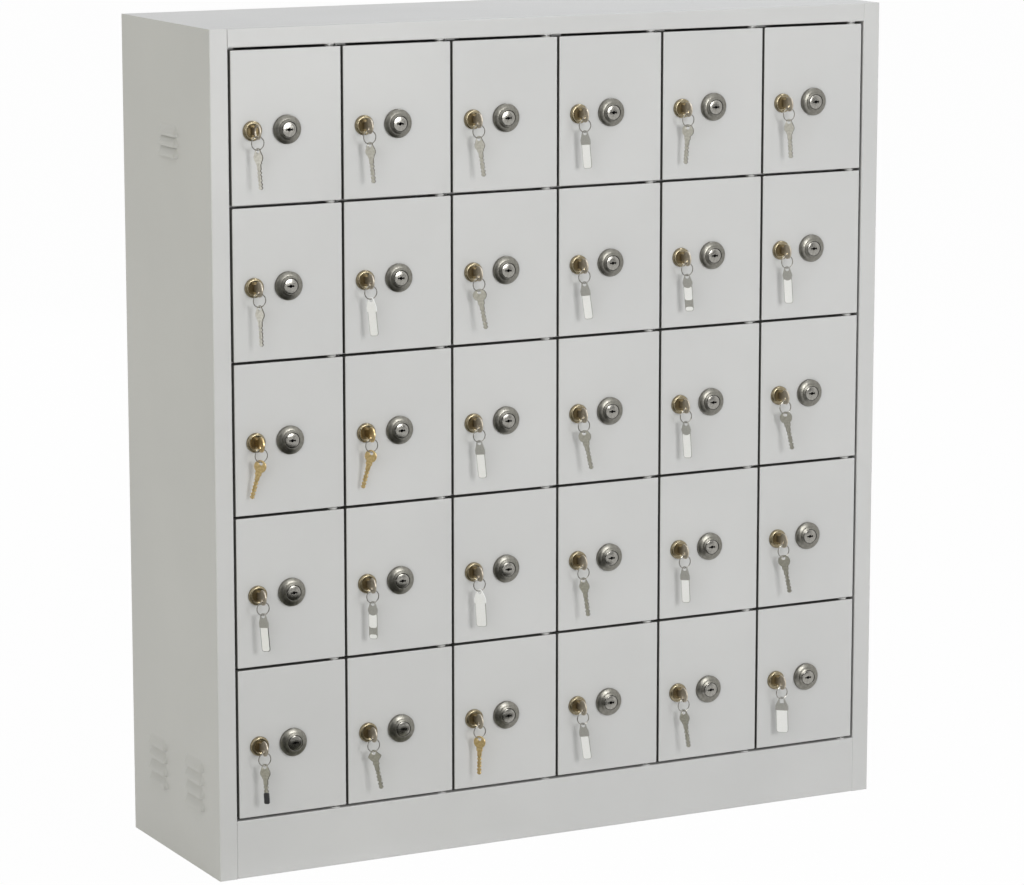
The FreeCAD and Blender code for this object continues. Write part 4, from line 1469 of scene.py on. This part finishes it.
@dataclass(frozen=True)
class SpareKey(Hanger):
    """A flat key, cut on both edges of its blade."""

    bow: Bow = Bow.EGG
    coat: Coat = Coat.NICKEL
    sheathed: bool = False
    length: float = 48.0
    ease: float = 0.22
    egg_belly: float = 6.4
    egg_level: float = -8.8
    egg_crown: float = 3.3
    egg_meet: float = 23.1
    egg_open: float = 50.0
    round_radius: float = 7.6
    round_open: float = 60.0
    oval_half_width: float = 8.5
    oval_half_height: float = 7.2
    oval_open: float = 62.0
    diamond_waist: float = 8.2
    diamond_foot: Sequence[Point] = ((3.2, -6.4), (7.4, -1.6))
    diamond_side: float = 6.6
    diamond_round: float = 1.6
    diamond_crown: float = 3.6
    diamond_meet: float = 45.0
    diamond_sweep: Point = (-30.0, 40.0)
    collar: float = -14.2
    collar_height: float = 1.8
    collar_slope: float = 0.5
    collar_step: float = 1.2
    blade_half_width: float = 2.8
    tip_cut: Point = (1.6, 1.7)
    first_cut: float = 4.0
    cut_pitch: float = 4.4
    cut_depths: Sequence[float] = (1.0, 1.5, 0.8, 1.3, 1.1)
    cut_half_mouth: float = 1.5
    cut_half_floor: float = 0.4
    groove_half_width: float = 0.8
    groove_round: float = 0.6
    groove_depth: float = 0.4
    groove_stop: float = 1.0
    field_half: Point = (4.2, 2.6)
    field_drop: float = 3.9
    field_depth: float = 0.22
    sleeve_wall: float = 0.6
    sleeve_room: float = 0.5
    sleeve_past_tip: float = 0.4
    sleeve_length: float = 13.0
    sleeve_corner: float = 1.6

    def tip(self) -> float:
        """Gives the level of the tip."""
        return self.top - self.length

    def bow_loop(self) -> Loop:
        """Draws the bow from the collar round the top and back.

        Returns:
            The open outline, from the right of the collar to its left.
        """
        if self.bow is Bow.ROUND:
            centre, ends = (0.0, self.top - self.round_radius), self.round_open
            return arc(centre, self.round_radius, -ends, 180.0 + ends, BARREL_STEPS)
        if self.bow is Bow.OVAL:
            up, ends = self.oval_half_height, self.oval_open
            return arc((0.0, self.top - up), self.oval_half_width, -ends, 180.0 + ends, BARREL_STEPS, up)
        if self.bow is Bow.EGG:
            side = arc((0.0, self.egg_level), self.egg_belly, -self.egg_open, self.egg_meet, BEND_STEPS)
            crown, meet, steps = self.egg_crown, self.egg_meet, 14
        else:
            waist = self.top - self.diamond_waist
            side = [(x, waist + z) for x, z in self.diamond_foot]
            side += arc((self.diamond_side, waist), self.diamond_round, *self.diamond_sweep, 5)
            crown, meet, steps = self.diamond_crown, self.diamond_meet, BEND_STEPS
        return side + arc((0.0, self.top - crown), crown, meet, 180.0 - meet, steps) + mirrored(side)

    def blade_loop(self) -> Loop:
        """Draws the collar and the blade with its cuts.

        Returns:
            The open outline, from the left of the collar round the tip to its right.
        """
        half = self.blade_half_width
        wide = half + self.collar_step
        foot = self.collar - self.collar_height
        side = [(half - self.tip_cut[0], self.tip()), (half, self.tip() + self.tip_cut[1])]
        for number, depth in enumerate(self.cut_depths):
            middle = self.tip() + self.first_cut + number * self.cut_pitch
            side += [
                (half, middle - self.cut_half_mouth),
                (half - depth, middle - self.cut_half_floor),
                (half - depth, middle + self.cut_half_floor),
                (half, middle + self.cut_half_mouth),
            ]
        side += [(half, foot - self.collar_slope), (wide, foot), (wide, self.collar)]
        return mirrored(side) + side

    def sleeve(self) -> Solid:
        """Makes the dark sheath on the tip.

        Returns:
            A slab about the end of the blade.
        """
        width = self.blade_half_width + self.sleeve_room
        low = (-width, self.tip() - self.sleeve_past_tip)
        loop = rounded(low, (width, self.tip() + self.sleeve_length), self.sleeve_corner, 5)
        levels = about_middle(self.sheet + 2.0 * self.sleeve_wall)
        return plate(Lie.ACROSS, loop, [], levels, self.sleeve_room, Coat.SHEATH)

    def solid(self) -> Solid:
        """Cuts the key.

        Returns:
            The key about its hanging point.
        """
        outline = self.bow_loop() + self.blade_loop()
        low = (-self.groove_half_width, self.tip() + self.first_cut)
        high = (self.groove_half_width, self.collar - self.groove_stop)
        groove = rounded(low, high, self.groove_round, CORNER_STEPS)
        middle = (0.0, self.hole_level() - self.hole_radius - self.field_drop)
        oval = circle(self.field_half[0], SCREW_STEPS, middle, self.field_half[1])
        recesses = [Recess(groove, self.groove_depth, self.coat), Recess(oval, self.field_depth, self.coat)]
        # Plain spare keys get dark nickel on their outer edges: painted shade along the edges
        edge = self.coat if self.coat is Coat.KEY_BRASS else Coat.KEY_EDGE
        levels = about_middle(self.sheet)
        made = plate(Lie.ACROSS, outline, [self.hole()], levels, self.ease, self.coat, recesses, edge)
        return made.joined(self.sleeve()) if self.sheathed else made


class Head(Enum):
    """The shape of a tag's head."""

    SQUARE = "square"
    EGG = "egg"


@dataclass(frozen=True)
class Tag(Hanger):
    """A flat tag: a head that widens from its hole, and a bordered white strip below it."""

    half_width: float = 5.4
    head_coat: Coat = Coat.TAG_GREY
    head_shape: Head = Head.SQUARE
    edge_coat: Coat = Coat.TAG_GREY
    ended: bool = False
    windowed: bool = False
    length: float = 46.0
    head: float = 17.5
    head_crown: float = 3.8
    head_meet: float = 18.0
    head_overlap: float = 0.8
    head_ease: float = 0.3
    shoulder_share: float = 0.42
    shoulder_round: float = 2.0
    shoulder_start: float = 155.0
    foot_round: float = 1.2
    window_room: float = 0.3
    window_drop: float = 2.0
    window_corner: float = 0.7
    tuck: float = 3.0
    strip_sheet: float = 1.2
    strip_ease: float = 0.2
    strip_corner: float = 3.2
    strip_land: float = 0.8
    border: float = 0.5
    label_depth: float = 0.08
    patch_top: float = 13.5
    patch_foot: float = 5.5

    def head_plate(self) -> Solid:
        """Moulds the head round its hole.

        Returns:
            The head about the hanging point.
        """
        side = self.half_width + self.head_overlap
        foot = self.top - self.head
        shoulder = foot + self.head * self.shoulder_share
        meet = self.head_meet
        outline = arc((0.0, self.top - self.head_crown), self.head_crown, meet, 180.0 - meet, 16)
        if self.head_shape is Head.EGG:
            outline += arc((0.0, foot + side), side, 180.0 - meet, 360.0 + meet, 30)
        else:
            bend, heel = self.shoulder_round, self.foot_round
            left = arc((bend - side, shoulder - bend), bend, self.shoulder_start, 180.0, CORNER_STEPS)
            left += arc((heel - side, foot + heel), heel, 180.0, 270.0, 5)
            outline += left + mirrored(left)
        hole = self.hole()
        if self.windowed:
            reach = self.hole_radius + self.window_room
            low = (-reach, self.hole_level() - reach - self.window_drop)
            high = (reach, self.hole_level() + self.hole_radius)
            hole = rounded(low, high, self.window_corner, CORNER_STEPS)
        return plate(Lie.ACROSS, outline, [hole], about_middle(self.sheet), self.head_ease, self.head_coat)

    def strip(self) -> Solid:
        """Moulds the strip that is held in the head.

        Returns:
            The strip about the hanging point.
        """
        half = self.half_width
        foot = self.top - self.length
        corner = min(half - self.strip_land, self.strip_corner)
        tucked = self.top - self.head + self.tuck
        left = arc((corner - half, foot + corner), corner, 180.0, 270.0, 8)
        outline = [(half, tucked), (-half, tucked)] + left + mirrored(left)
        inner = half - self.border
        fields = [(self.border, tucked - foot - self.border)]
        if self.ended:
            fields = [(self.border, self.patch_foot), (self.patch_top, fields[0][1])]
        recesses = []
        for low, high in fields:
            label = rounded((-inner, foot + low), (inner, foot + high), corner - self.border)
            recesses.append(Recess(label, self.label_depth, Coat.TAG_WHITE))
        levels = about_middle(self.strip_sheet)
        return plate(Lie.ACROSS, outline, [], levels, self.strip_ease, self.edge_coat, recesses)

    def solid(self) -> Solid:
        """Puts head and strip together."""
        return self.head_plate().joined(self.strip())


BRASS_KEY = SpareKey(bow=Bow.ROUND, coat=Coat.KEY_BRASS)
PLAIN_KEY = SpareKey()
ROUND_KEY = SpareKey(bow=Bow.ROUND)
OVAL_KEY = SpareKey(bow=Bow.OVAL)
DIAMOND_KEY = SpareKey(bow=Bow.DIAMOND)
SHEATHED_KEY = SpareKey(sheathed=True)
SLIM_TAG = Tag()
EGG_TAG = Tag(head_shape=Head.EGG)
PALE_TAG = Tag(head_coat=Coat.TAG_WHITE)
EDGED_TAG = Tag(edge_coat=Coat.SHEATH)
ENDED_TAG = Tag(head_shape=Head.EGG, ended=True)
WIDE_TAG = Tag(half_width=6.8, head_coat=Coat.TAG_WHITE)
WINDOW_TAG = Tag(half_width=7.6, windowed=True)
BRASS_LOCK_KEYS = ("r3_c1", "r3_c2")

# What hangs on each ring, its turn about the upright and its lean outwards in degrees, by row and column

HANGING: list[list[tuple[SpareKey | Tag, float, float]]] = [
    [
        (PLAIN_KEY, 30, 5), (PLAIN_KEY, 40, 6), (PLAIN_KEY, 43, 8),
        (SLIM_TAG, 42, 5), (ROUND_KEY, 36, -4), (PLAIN_KEY, 43, 4),
    ],
    [
        (PLAIN_KEY, 28, 3), (PALE_TAG, 40, 6), (OVAL_KEY, 45, 11),
        (SLIM_TAG, 45, 8), (ENDED_TAG, 43, 5), (EGG_TAG, 43, 4),
    ],
    [
        (BRASS_KEY, 43, -16), (BRASS_KEY, 40, -15), (SLIM_TAG, 41, 6),
        (ROUND_KEY, 50, 12), (EGG_TAG, 38, 4), (ROUND_KEY, 50, 12),
    ],
    [
        (EDGED_TAG, 38, 5), (ENDED_TAG, 43, 1), (WIDE_TAG, 40, 4),
        (PLAIN_KEY, 44, 8), (SLIM_TAG, 41, 3), (ROUND_KEY, 45, 11),
    ],
    [
        (SHEATHED_KEY, 43, 3), (DIAMOND_KEY, 48, 12), (BRASS_KEY, 39, -1),
        (SLIM_TAG, 46, 8), (PLAIN_KEY, 41, 9), (WINDOW_TAG, 43, 2),
    ],
]


def hanging_at(spot: str) -> Solid:
    """Makes what hangs on a door's ring, at the sample door.

    Args:
        spot: the door's row and column.

    Returns:
        The key or tag on the sample door's ring.
    """
    row, column = (int(word[1:]) for word in spot.split("_"))
    piece, twist, lean = HANGING[row - 1][column - 1]
    place = Matrix.Translation(PIVOTS["spare_key"]) @ turn(twist, "Z")
    return piece.solid().moved(place @ turn(-lean, "X"))


# Assemblies


@dataclass(frozen=True)
class Louvres:
    """The pressed hoods of the sides, each drawn softly out of the sheet, with a slab of painted shade for
    the mouth below.
    """

    reach: float = 4.3
    packed_reach: float = 4.0
    crest: float = 1.0
    skirt: float = 13.5
    end_crest: float = 5.0
    end_skirt: float = 8.0
    straight: float = 39.4
    sheet: float = 1.2
    sunk: float = 0.3
    steps: int = 10
    mouth_below: float = 0.03
    mouth_depth: float = 0.4
    mouth_corner: float = 1.5
    # Each group has its share of the depth, its lowest level, its pitch and its count
    groups: Sequence[tuple[float, float, float, int]] = (
        (0.470, 848.0, 12.4, 3),
        (0.277, 74.0, 16.0, 4),
        (0.702, 74.0, 16.0, 4),
    )

    def rise(self, share: float) -> float:
        """Gives how far a hood stands out at a share of the way from its crest to its foot."""
        return self.reach * (1.0 - share * share * (3.0 - 2.0 * share))

    def outline(self, end: float, top: float) -> Loop:
        """Draws the line about a hood.

        Args:
            end: how far it runs past the hood's ends.
            top: how far it runs above the mouth.

        Returns:
            The open line, from the left to the right.
        """
        half = self.straight / 2.0
        left = arc((-half, 0.0), end, 180.0, 90.0, BEND_STEPS, top)
        return left + arc((half, 0.0), end, 90.0, 0.0, BEND_STEPS, top)

    def hood(self) -> Solid:
        """Draws one hood of the left side about the middle of its mouth.

        Returns:
            The hood, its foot sunk a little into the sheet.
        """
        line = self.outline(0.0, 0.0)
        foot = self.outline(self.end_skirt, self.skirt)
        rows = [[(self.sunk, *point) for point in loop] for loop in (line, foot)]
        for step in range(self.steps + 1):
            share = 1.0 - step / self.steps
            end = self.end_crest + share * (self.end_skirt - self.end_crest)
            top = self.crest + share * (self.skirt - self.crest)
            rows.append([(-self.rise(share), *point) for point in self.outline(end, top)])
        rows.append([(-self.reach, *point) for point in line])
        made = Solid()
        made.rows(rows, Coat.PAINT)
        return made.sealed()

    def mouth(self) -> Solid:
        """Makes the slot under a hood as a slab of painted shade.

        Returns:
            A thin near-black slab of painted shade that shows from below.
        """
        half = self.straight / 2.0 + self.reach
        loop = rounded((self.sheet - self.reach, -half), (self.sunk, half), self.mouth_corner, CORNER_STEPS)
        middle = [ORIGIN] * len(loop)
        low, high = -self.mouth_below, self.mouth_depth
        levels = ((middle, low), (loop, low), (loop, high), (middle, high))
        made = Solid()
        made.rows([[(*point, level) for point in row] for row, level in levels], Coat.SHADE)
        return made.sealed()

    def both_sides(self) -> Solid:
        """Sets every group of hoods on both sides.

        Returns:
            All hoods and mouths of the cabinet.
        """
        low, high = box_of("left_side_panel")
        face = low.x + self.packed_reach
        rows = []
        for across, angle in ((face, 0.0), (-face, 180.0)):
            for share, level, pitch, count in self.groups:
                first = (across, low.y + share * (high.y - low.y), level)
                # The mouths are near-black slabs of painted shade
                for coat, master in ((Coat.PAINT, self.hood()), (Coat.SHADE, self.mouth())):
                    rows.append(stacked(master.moved(turn(angle, "Z")), coat, count, first, pitch))
        return rows[0].joined(*rows[1:])


@dataclass(frozen=True)
class Carcass:
    """The fixed cabinet: packed sheet metal with its finishes, soft louvres and welds at the back."""

    weld_radius: float = 3.0
    weld_height: float = 0.18
    weld_crown: Point = (0.6, 0.8)
    weld_sunk: float = 0.05
    weld_steps: int = 16
    weld_pitch: float = 78.0
    weld_inset: float = 7.5
    bare: str = "pivot_pins"

    def dress(self) -> None:
        """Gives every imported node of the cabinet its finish."""
        for node, piece in frame["nodes"].items():
            if piece["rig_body"] == "carcass":
                coat = Coat.PIN_STEEL if node == self.bare else Coat.PAINT
                piece.data.materials.clear()
                piece.data.materials.append(material(coat))
                LOG.info("%s keeps its packed shape in %s", node, coat.value)

    def welds(self) -> Solid:
        """Sets rows of spot welds on the rear flanges.

        Returns:
            The flat nuggets under the paint.
        """
        low, high = box_of("left_side_panel")
        across, up = self.weld_crown
        profile = [
            (0.0, self.weld_height),
            (self.weld_radius * across, self.weld_height * up),
            (self.weld_radius, -self.weld_sunk),
            (0.0, -self.weld_sunk),
        ]
        nugget = turned([(Coat.PAINT, profile)], self.weld_steps)
        count = int((high.z - low.z - 2.0 * self.weld_pitch) / self.weld_pitch) + 1
        level = (high.z + low.z - (count - 1) * self.weld_pitch) / 2.0
        side = -box_of("top_panel")[0].x - self.weld_inset
        places = [(x, high.y, level) for x in (-side, side)]
        left, right = (stacked(nugget, Coat.PAINT, count, at, self.weld_pitch) for at in places)
        return left.joined(right)

    def build(self) -> None:
        """Dresses the cabinet and adds the louvre hoods and the welds."""
        self.dress()
        for name, solid in (("louvre_hoods", Louvres().both_sides()), ("rear_spot_welds", self.welds())):
            show(name, solid.mesh(name), "carcass", [])


@dataclass
class DoorSet:
    """All thirty doors, drawn once at the sample door and copied to the rest."""

    panel: DoorPanel
    user: UserLock
    control: ControlLock
    key: LockKey
    ring: SplitRing

    @classmethod
    def from_frame(cls) -> "DoorSet":
        """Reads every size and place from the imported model.

        Returns:
            The doors, not yet built.
        """
        return cls(
            DoorPanel.from_frame(),
            UserLock.from_frame("user_lock", "user_cam_screw"),
            ControlLock.from_frame("control_lock", "control_cam_screw"),
            LockKey.from_frame(),
            SplitRing.from_frame(),
        )

    def copies(self, name: str, solid: Solid, slot: str, doors: Sequence[str]) -> None:
        """Puts one copy of a solid on each door.

        Args:
            name: the start of the pieces' names.
            solid: the solid at the sample door.
            slot: not used.
            doors: the doors that get it.
        """
        master = solid.mesh(name)
        for door in doors:
            mesh = master.copy()
            mesh.name = f"{name}_{spot_of(door)}"
            mesh.transform(Matrix.Translation(step_to(door) * MM))
            show(mesh.name, mesh, door, [door])
        bpy.data.meshes.remove(master)

    def sample_parts(self) -> None:
        """Builds the sample door's lock parts, which move by themselves."""
        sample = f"door_{SAMPLE}"
        nuts = self.user.nut().joined(self.control.nut())
        key_body = "user_lock"
        control_body = "control_lock"
        parts = [
            ("user_lock_housing", self.user.housing(), sample, "brass"),
            ("user_lock_plug", self.user.plug(), key_body, "brass"),
            ("user_lock_cam", self.user.cam(), key_body, "zinc"),
            ("user_cam_screw", self.user.screw(), key_body, "zinc"),
            ("user_key", self.key.solid(Coat.KEY_NICKEL, True), key_body, "brass"),
            ("key_ring", self.ring.solid(), "key_ring", "nickel"),
            ("spare_key", hanging_at(SAMPLE), "spare_key", "nickel"),
            ("control_lock_rose", self.control.rose(), sample, "nickel"),
            ("control_lock_housing", self.control.housing(), sample, "nickel"),
            ("control_lock_plug", self.control.plug(), control_body, "nickel"),
            ("control_lock_cam", self.control.cam(), control_body, "zinc"),
            ("control_cam_screw", self.control.screw(), control_body, "zinc"),
            ("lock_nuts", nuts, sample, "zinc"),
        ]
        for node, solid, body, slot in parts:
            show(f"{node}_{SAMPLE}", solid.mesh(f"{node}_{SAMPLE}"), body, [node])

    def build(self) -> None:
        """Builds every door with its locks, keys and tags."""
        others = [door for door in DOORS if spot_of(door) != SAMPLE]
        self.copies("door_panel", self.panel.tray(), "grey_paint", DOORS)
        self.copies("door_bushes", self.panel.bushes(), "zinc", DOORS)
        lock = self.user.housing().joined(self.user.plug())
        for coat, yellow in ((Coat.KEY_NICKEL, False), (Coat.KEY_BRASS, True)):
            doors = [door for door in others if (spot_of(door) in BRASS_LOCK_KEYS) is yellow]
            self.copies("user_lock", lock.joined(self.key.solid(coat, False)), "brass", doors)
        steel = self.control.rose().joined(self.control.housing(), self.control.plug())
        self.copies("control_lock", steel, "nickel", others)
        fixings = self.user.nut().joined(self.user.cam(), self.user.screw())
        fixings = fixings.joined(self.control.nut(), self.control.cam(), self.control.screw())
        self.copies("lock_fixings", fixings, "zinc", others)
        self.copies("key_ring", self.ring.solid(), "nickel", others)
        for door in others:
            self.copies("hanging", hanging_at(spot_of(door)), "nickel", [door])
        self.sample_parts()


# Studio, with lengths in metres


def seen_directly(tree: bpy.types.NodeTree) -> Socket:
    """Tells camera, mirror and glass rays from those that carry light.

    Args:
        tree: the node tree to work in.

    Returns:
        1 for a ray that shows the background, else 0.
    """
    path = new_node(tree, "ShaderNodeLightPath").outputs
    total = path["Is Camera Ray"]
    for ray in ("Is Glossy Ray", "Is Transmission Ray"):
        both = {0: total, 1: path[ray]}
        total = new_node(tree, "ShaderNodeMath", both, operation="MAXIMUM").outputs["Value"]
    return total


def sheet_on_stage(name: str, half: Point, place: Matrix, finish: bpy.types.Material) -> bpy.types.Object:
    """Lays a flat rectangle that isn't part of the object.

    Args:
        name: its name.
        half: its half sizes in metres.
        place: where its middle lies and how it is turned.
        finish: its material.

    Returns:
        The new object.
    """
    mesh = bpy.data.meshes.new(name)
    signs = ((-1.0, -1.0), (1.0, -1.0), (1.0, 1.0), (-1.0, 1.0))
    spots = [place @ Vector((half[0] * x, half[1] * y, 0.0)) for x, y in signs]
    mesh.from_pydata(spots, [], [(0, 1, 2, 3)])
    mesh.materials.append(finish)
    sheet = bpy.data.objects.new(name, mesh)
    bpy.context.scene.collection.objects.link(sheet)
    return sheet


@dataclass(frozen=True)
class Card:
    """A dull card that only the object's surfaces see. A mat is mirrored, and neither lights nor shades."""

    name: str
    at: Place
    half: Point
    colour: Colour
    tilt: float = 0.0
    yaw: float = 0.0
    mat: bool = True

    def lay(self) -> None:
        """Sets up the card, unseen by the camera."""
        nodes = Nodes(f"studio_{self.name}")
        nodes.dress({"Base Color": (*self.colour, 1.0), "Roughness": 1.0, "Specular IOR Level": 0.0})
        place = Matrix.Translation(self.at) @ turn(self.tilt, "X") @ Matrix.Rotation(self.yaw, 4, "Z")
        card = sheet_on_stage(self.name, self.half, place, nodes.material)
        card.visible_camera = False
        card.visible_diffuse = not self.mat
        card.visible_shadow = not self.mat


@dataclass(frozen=True)
class Lamp:
    """A square soft lamp, with its place, aim and side in metres and its power in watts."""

    name: str
    at: Place
    aim: Place
    size: float
    power: float
    colour: Colour = WHITE
    in_mirrors: bool = False

    def hang(self) -> None:
        """Hangs the lamp, unseen by the camera."""
        light = bpy.data.lights.new(self.name, "AREA")
        light.size = self.size
        light.energy = self.power
        light.color = self.colour
        lamp = bpy.data.objects.new(self.name, light)
        lamp.location = self.at
        lamp.rotation_euler = (Vector(self.aim) - Vector(self.at)).to_track_quat("-Z", "Y").to_euler()
        lamp.visible_camera = False
        lamp.visible_glossy = self.in_mirrors
        bpy.context.scene.collection.objects.link(lamp)


CAMERA_YAW = 0.4769


@dataclass(frozen=True)
class Studio:
    """A pale floor, soft light and a camera at the photograph's angle."""

    camera_at: Place = (-2.25185, -4.35805, 1.37442)
    camera_pitch: float = 0.1823
    camera_lens: float = 141.8
    camera_reach: float = 100.0
    sensor: float = 36.0
    floor_half: float = 40.0
    floor_grey: float = 0.86
    floor_glow: float = 0.98
    floor_roughness: float = 0.9
    sky_light: float = 0.41
    cards: Sequence[Card] = (
        Card("dark_end", (-2.0, -6.2, 1.1), (6.0, 1.1), (0.02, 0.02, 0.02), tilt=90.0, mat=False),
        Card("grey_mat", (-4.0, -1.35, 0.004), (4.0, 1.2), (0.46, 0.46, 0.40)),
        Card("dark_aisle", (-1.05, -2.6, 0.006), (0.5, 2.4), (0.05, 0.05, 0.04), yaw=-CAMERA_YAW),
    )
    lamps: Sequence[Lamp] = (
        Lamp("key_light", (0.58, -3.2, 1.3), (0.0, -0.12, 0.5), 1.0, 36.0, in_mirrors=True),
        Lamp("top_light", (0.9, -0.48, 2.75), (0.0, -0.12, 1.0), 0.5, 10.0, (0.86, 0.91, 1.0), True),
        Lamp("back_light", (1.2, 3.8, 1.7), (0.0, 0.14, 0.5), 2.2, 24.0),
        Lamp("fill_light", (-3.0, -3.2, 1.5), (-0.3, -0.1, 0.6), 2.4, 34.0),
        Lamp("warm_side_light", (-4.0, -0.5, 1.3), (-0.45, 0.0, 0.5), 3.0, 9.0, (1.0, 0.93, 0.15)),
    )

    def world(self) -> None:
        """Lights the room evenly and shows it white."""
        world = bpy.data.worlds.new("studio")
        bpy.context.scene.world = world
        world.use_nodes = True
        tree = world.node_tree
        levels = {"Value": seen_directly(tree), "To Min": self.sky_light, "To Max": 1.0}
        strength = new_node(tree, "ShaderNodeMapRange", levels).outputs["Result"]
        feed(tree, tree.nodes["Background"], {"Color": (*WHITE, 1.0), "Strength": strength})

    def floor(self) -> None:
        """Lays the pale floor, which keeps the object's shadow."""
        nodes = Nodes("studio_floor")
        colour = (*[self.floor_grey] * 3, 1.0)
        nodes.dress({"Base Color": colour, "Roughness": self.floor_roughness, "Specular IOR Level": 0.0})
        seen = {0: seen_directly(nodes.tree), 1: self.floor_glow}
        share = nodes.add("ShaderNodeMath", seen, operation="MULTIPLY").outputs["Value"]
        glow = nodes.add("ShaderNodeEmission").outputs["Emission"]
        mix = nodes.add("ShaderNodeMixShader", {"Fac": share, 1: nodes.shader.outputs["BSDF"], 2: glow})
        feed(nodes.tree, nodes.output, {"Surface": mix.outputs["Shader"]})
        sheet_on_stage("floor", (self.floor_half, self.floor_half), Matrix.Identity(4), nodes.material)

    def camera(self) -> None:
        """Sets up the camera at the photograph's place."""
        data = bpy.data.cameras.new("camera")
        data.sensor_width = self.sensor
        data.lens = self.camera_lens
        data.clip_end = self.camera_reach
        camera = bpy.data.objects.new("camera", data)
        camera.location = self.camera_at
        camera.rotation_euler = (math.pi / 2.0 - self.camera_pitch, 0.0, -CAMERA_YAW)
        bpy.context.scene.collection.objects.link(camera)
        bpy.context.scene.camera = camera

    def build(self) -> None:
        """Sets up the whole studio."""
        bpy.context.scene.view_settings.view_transform = "Standard"
        self.world()
        self.floor()
        for card in self.cards:
            card.lay()
        for lamp in self.lamps:
            lamp.hang()
        self.camera()


def main() -> None:
    """Builds the locker and its studio."""
    logging.basicConfig(level=logging.INFO, format="%(name)s: %(message)s")
    Carcass().build()
    DoorSet.from_frame().build()
    Studio().build()


if __name__ == "__main__":
    main()
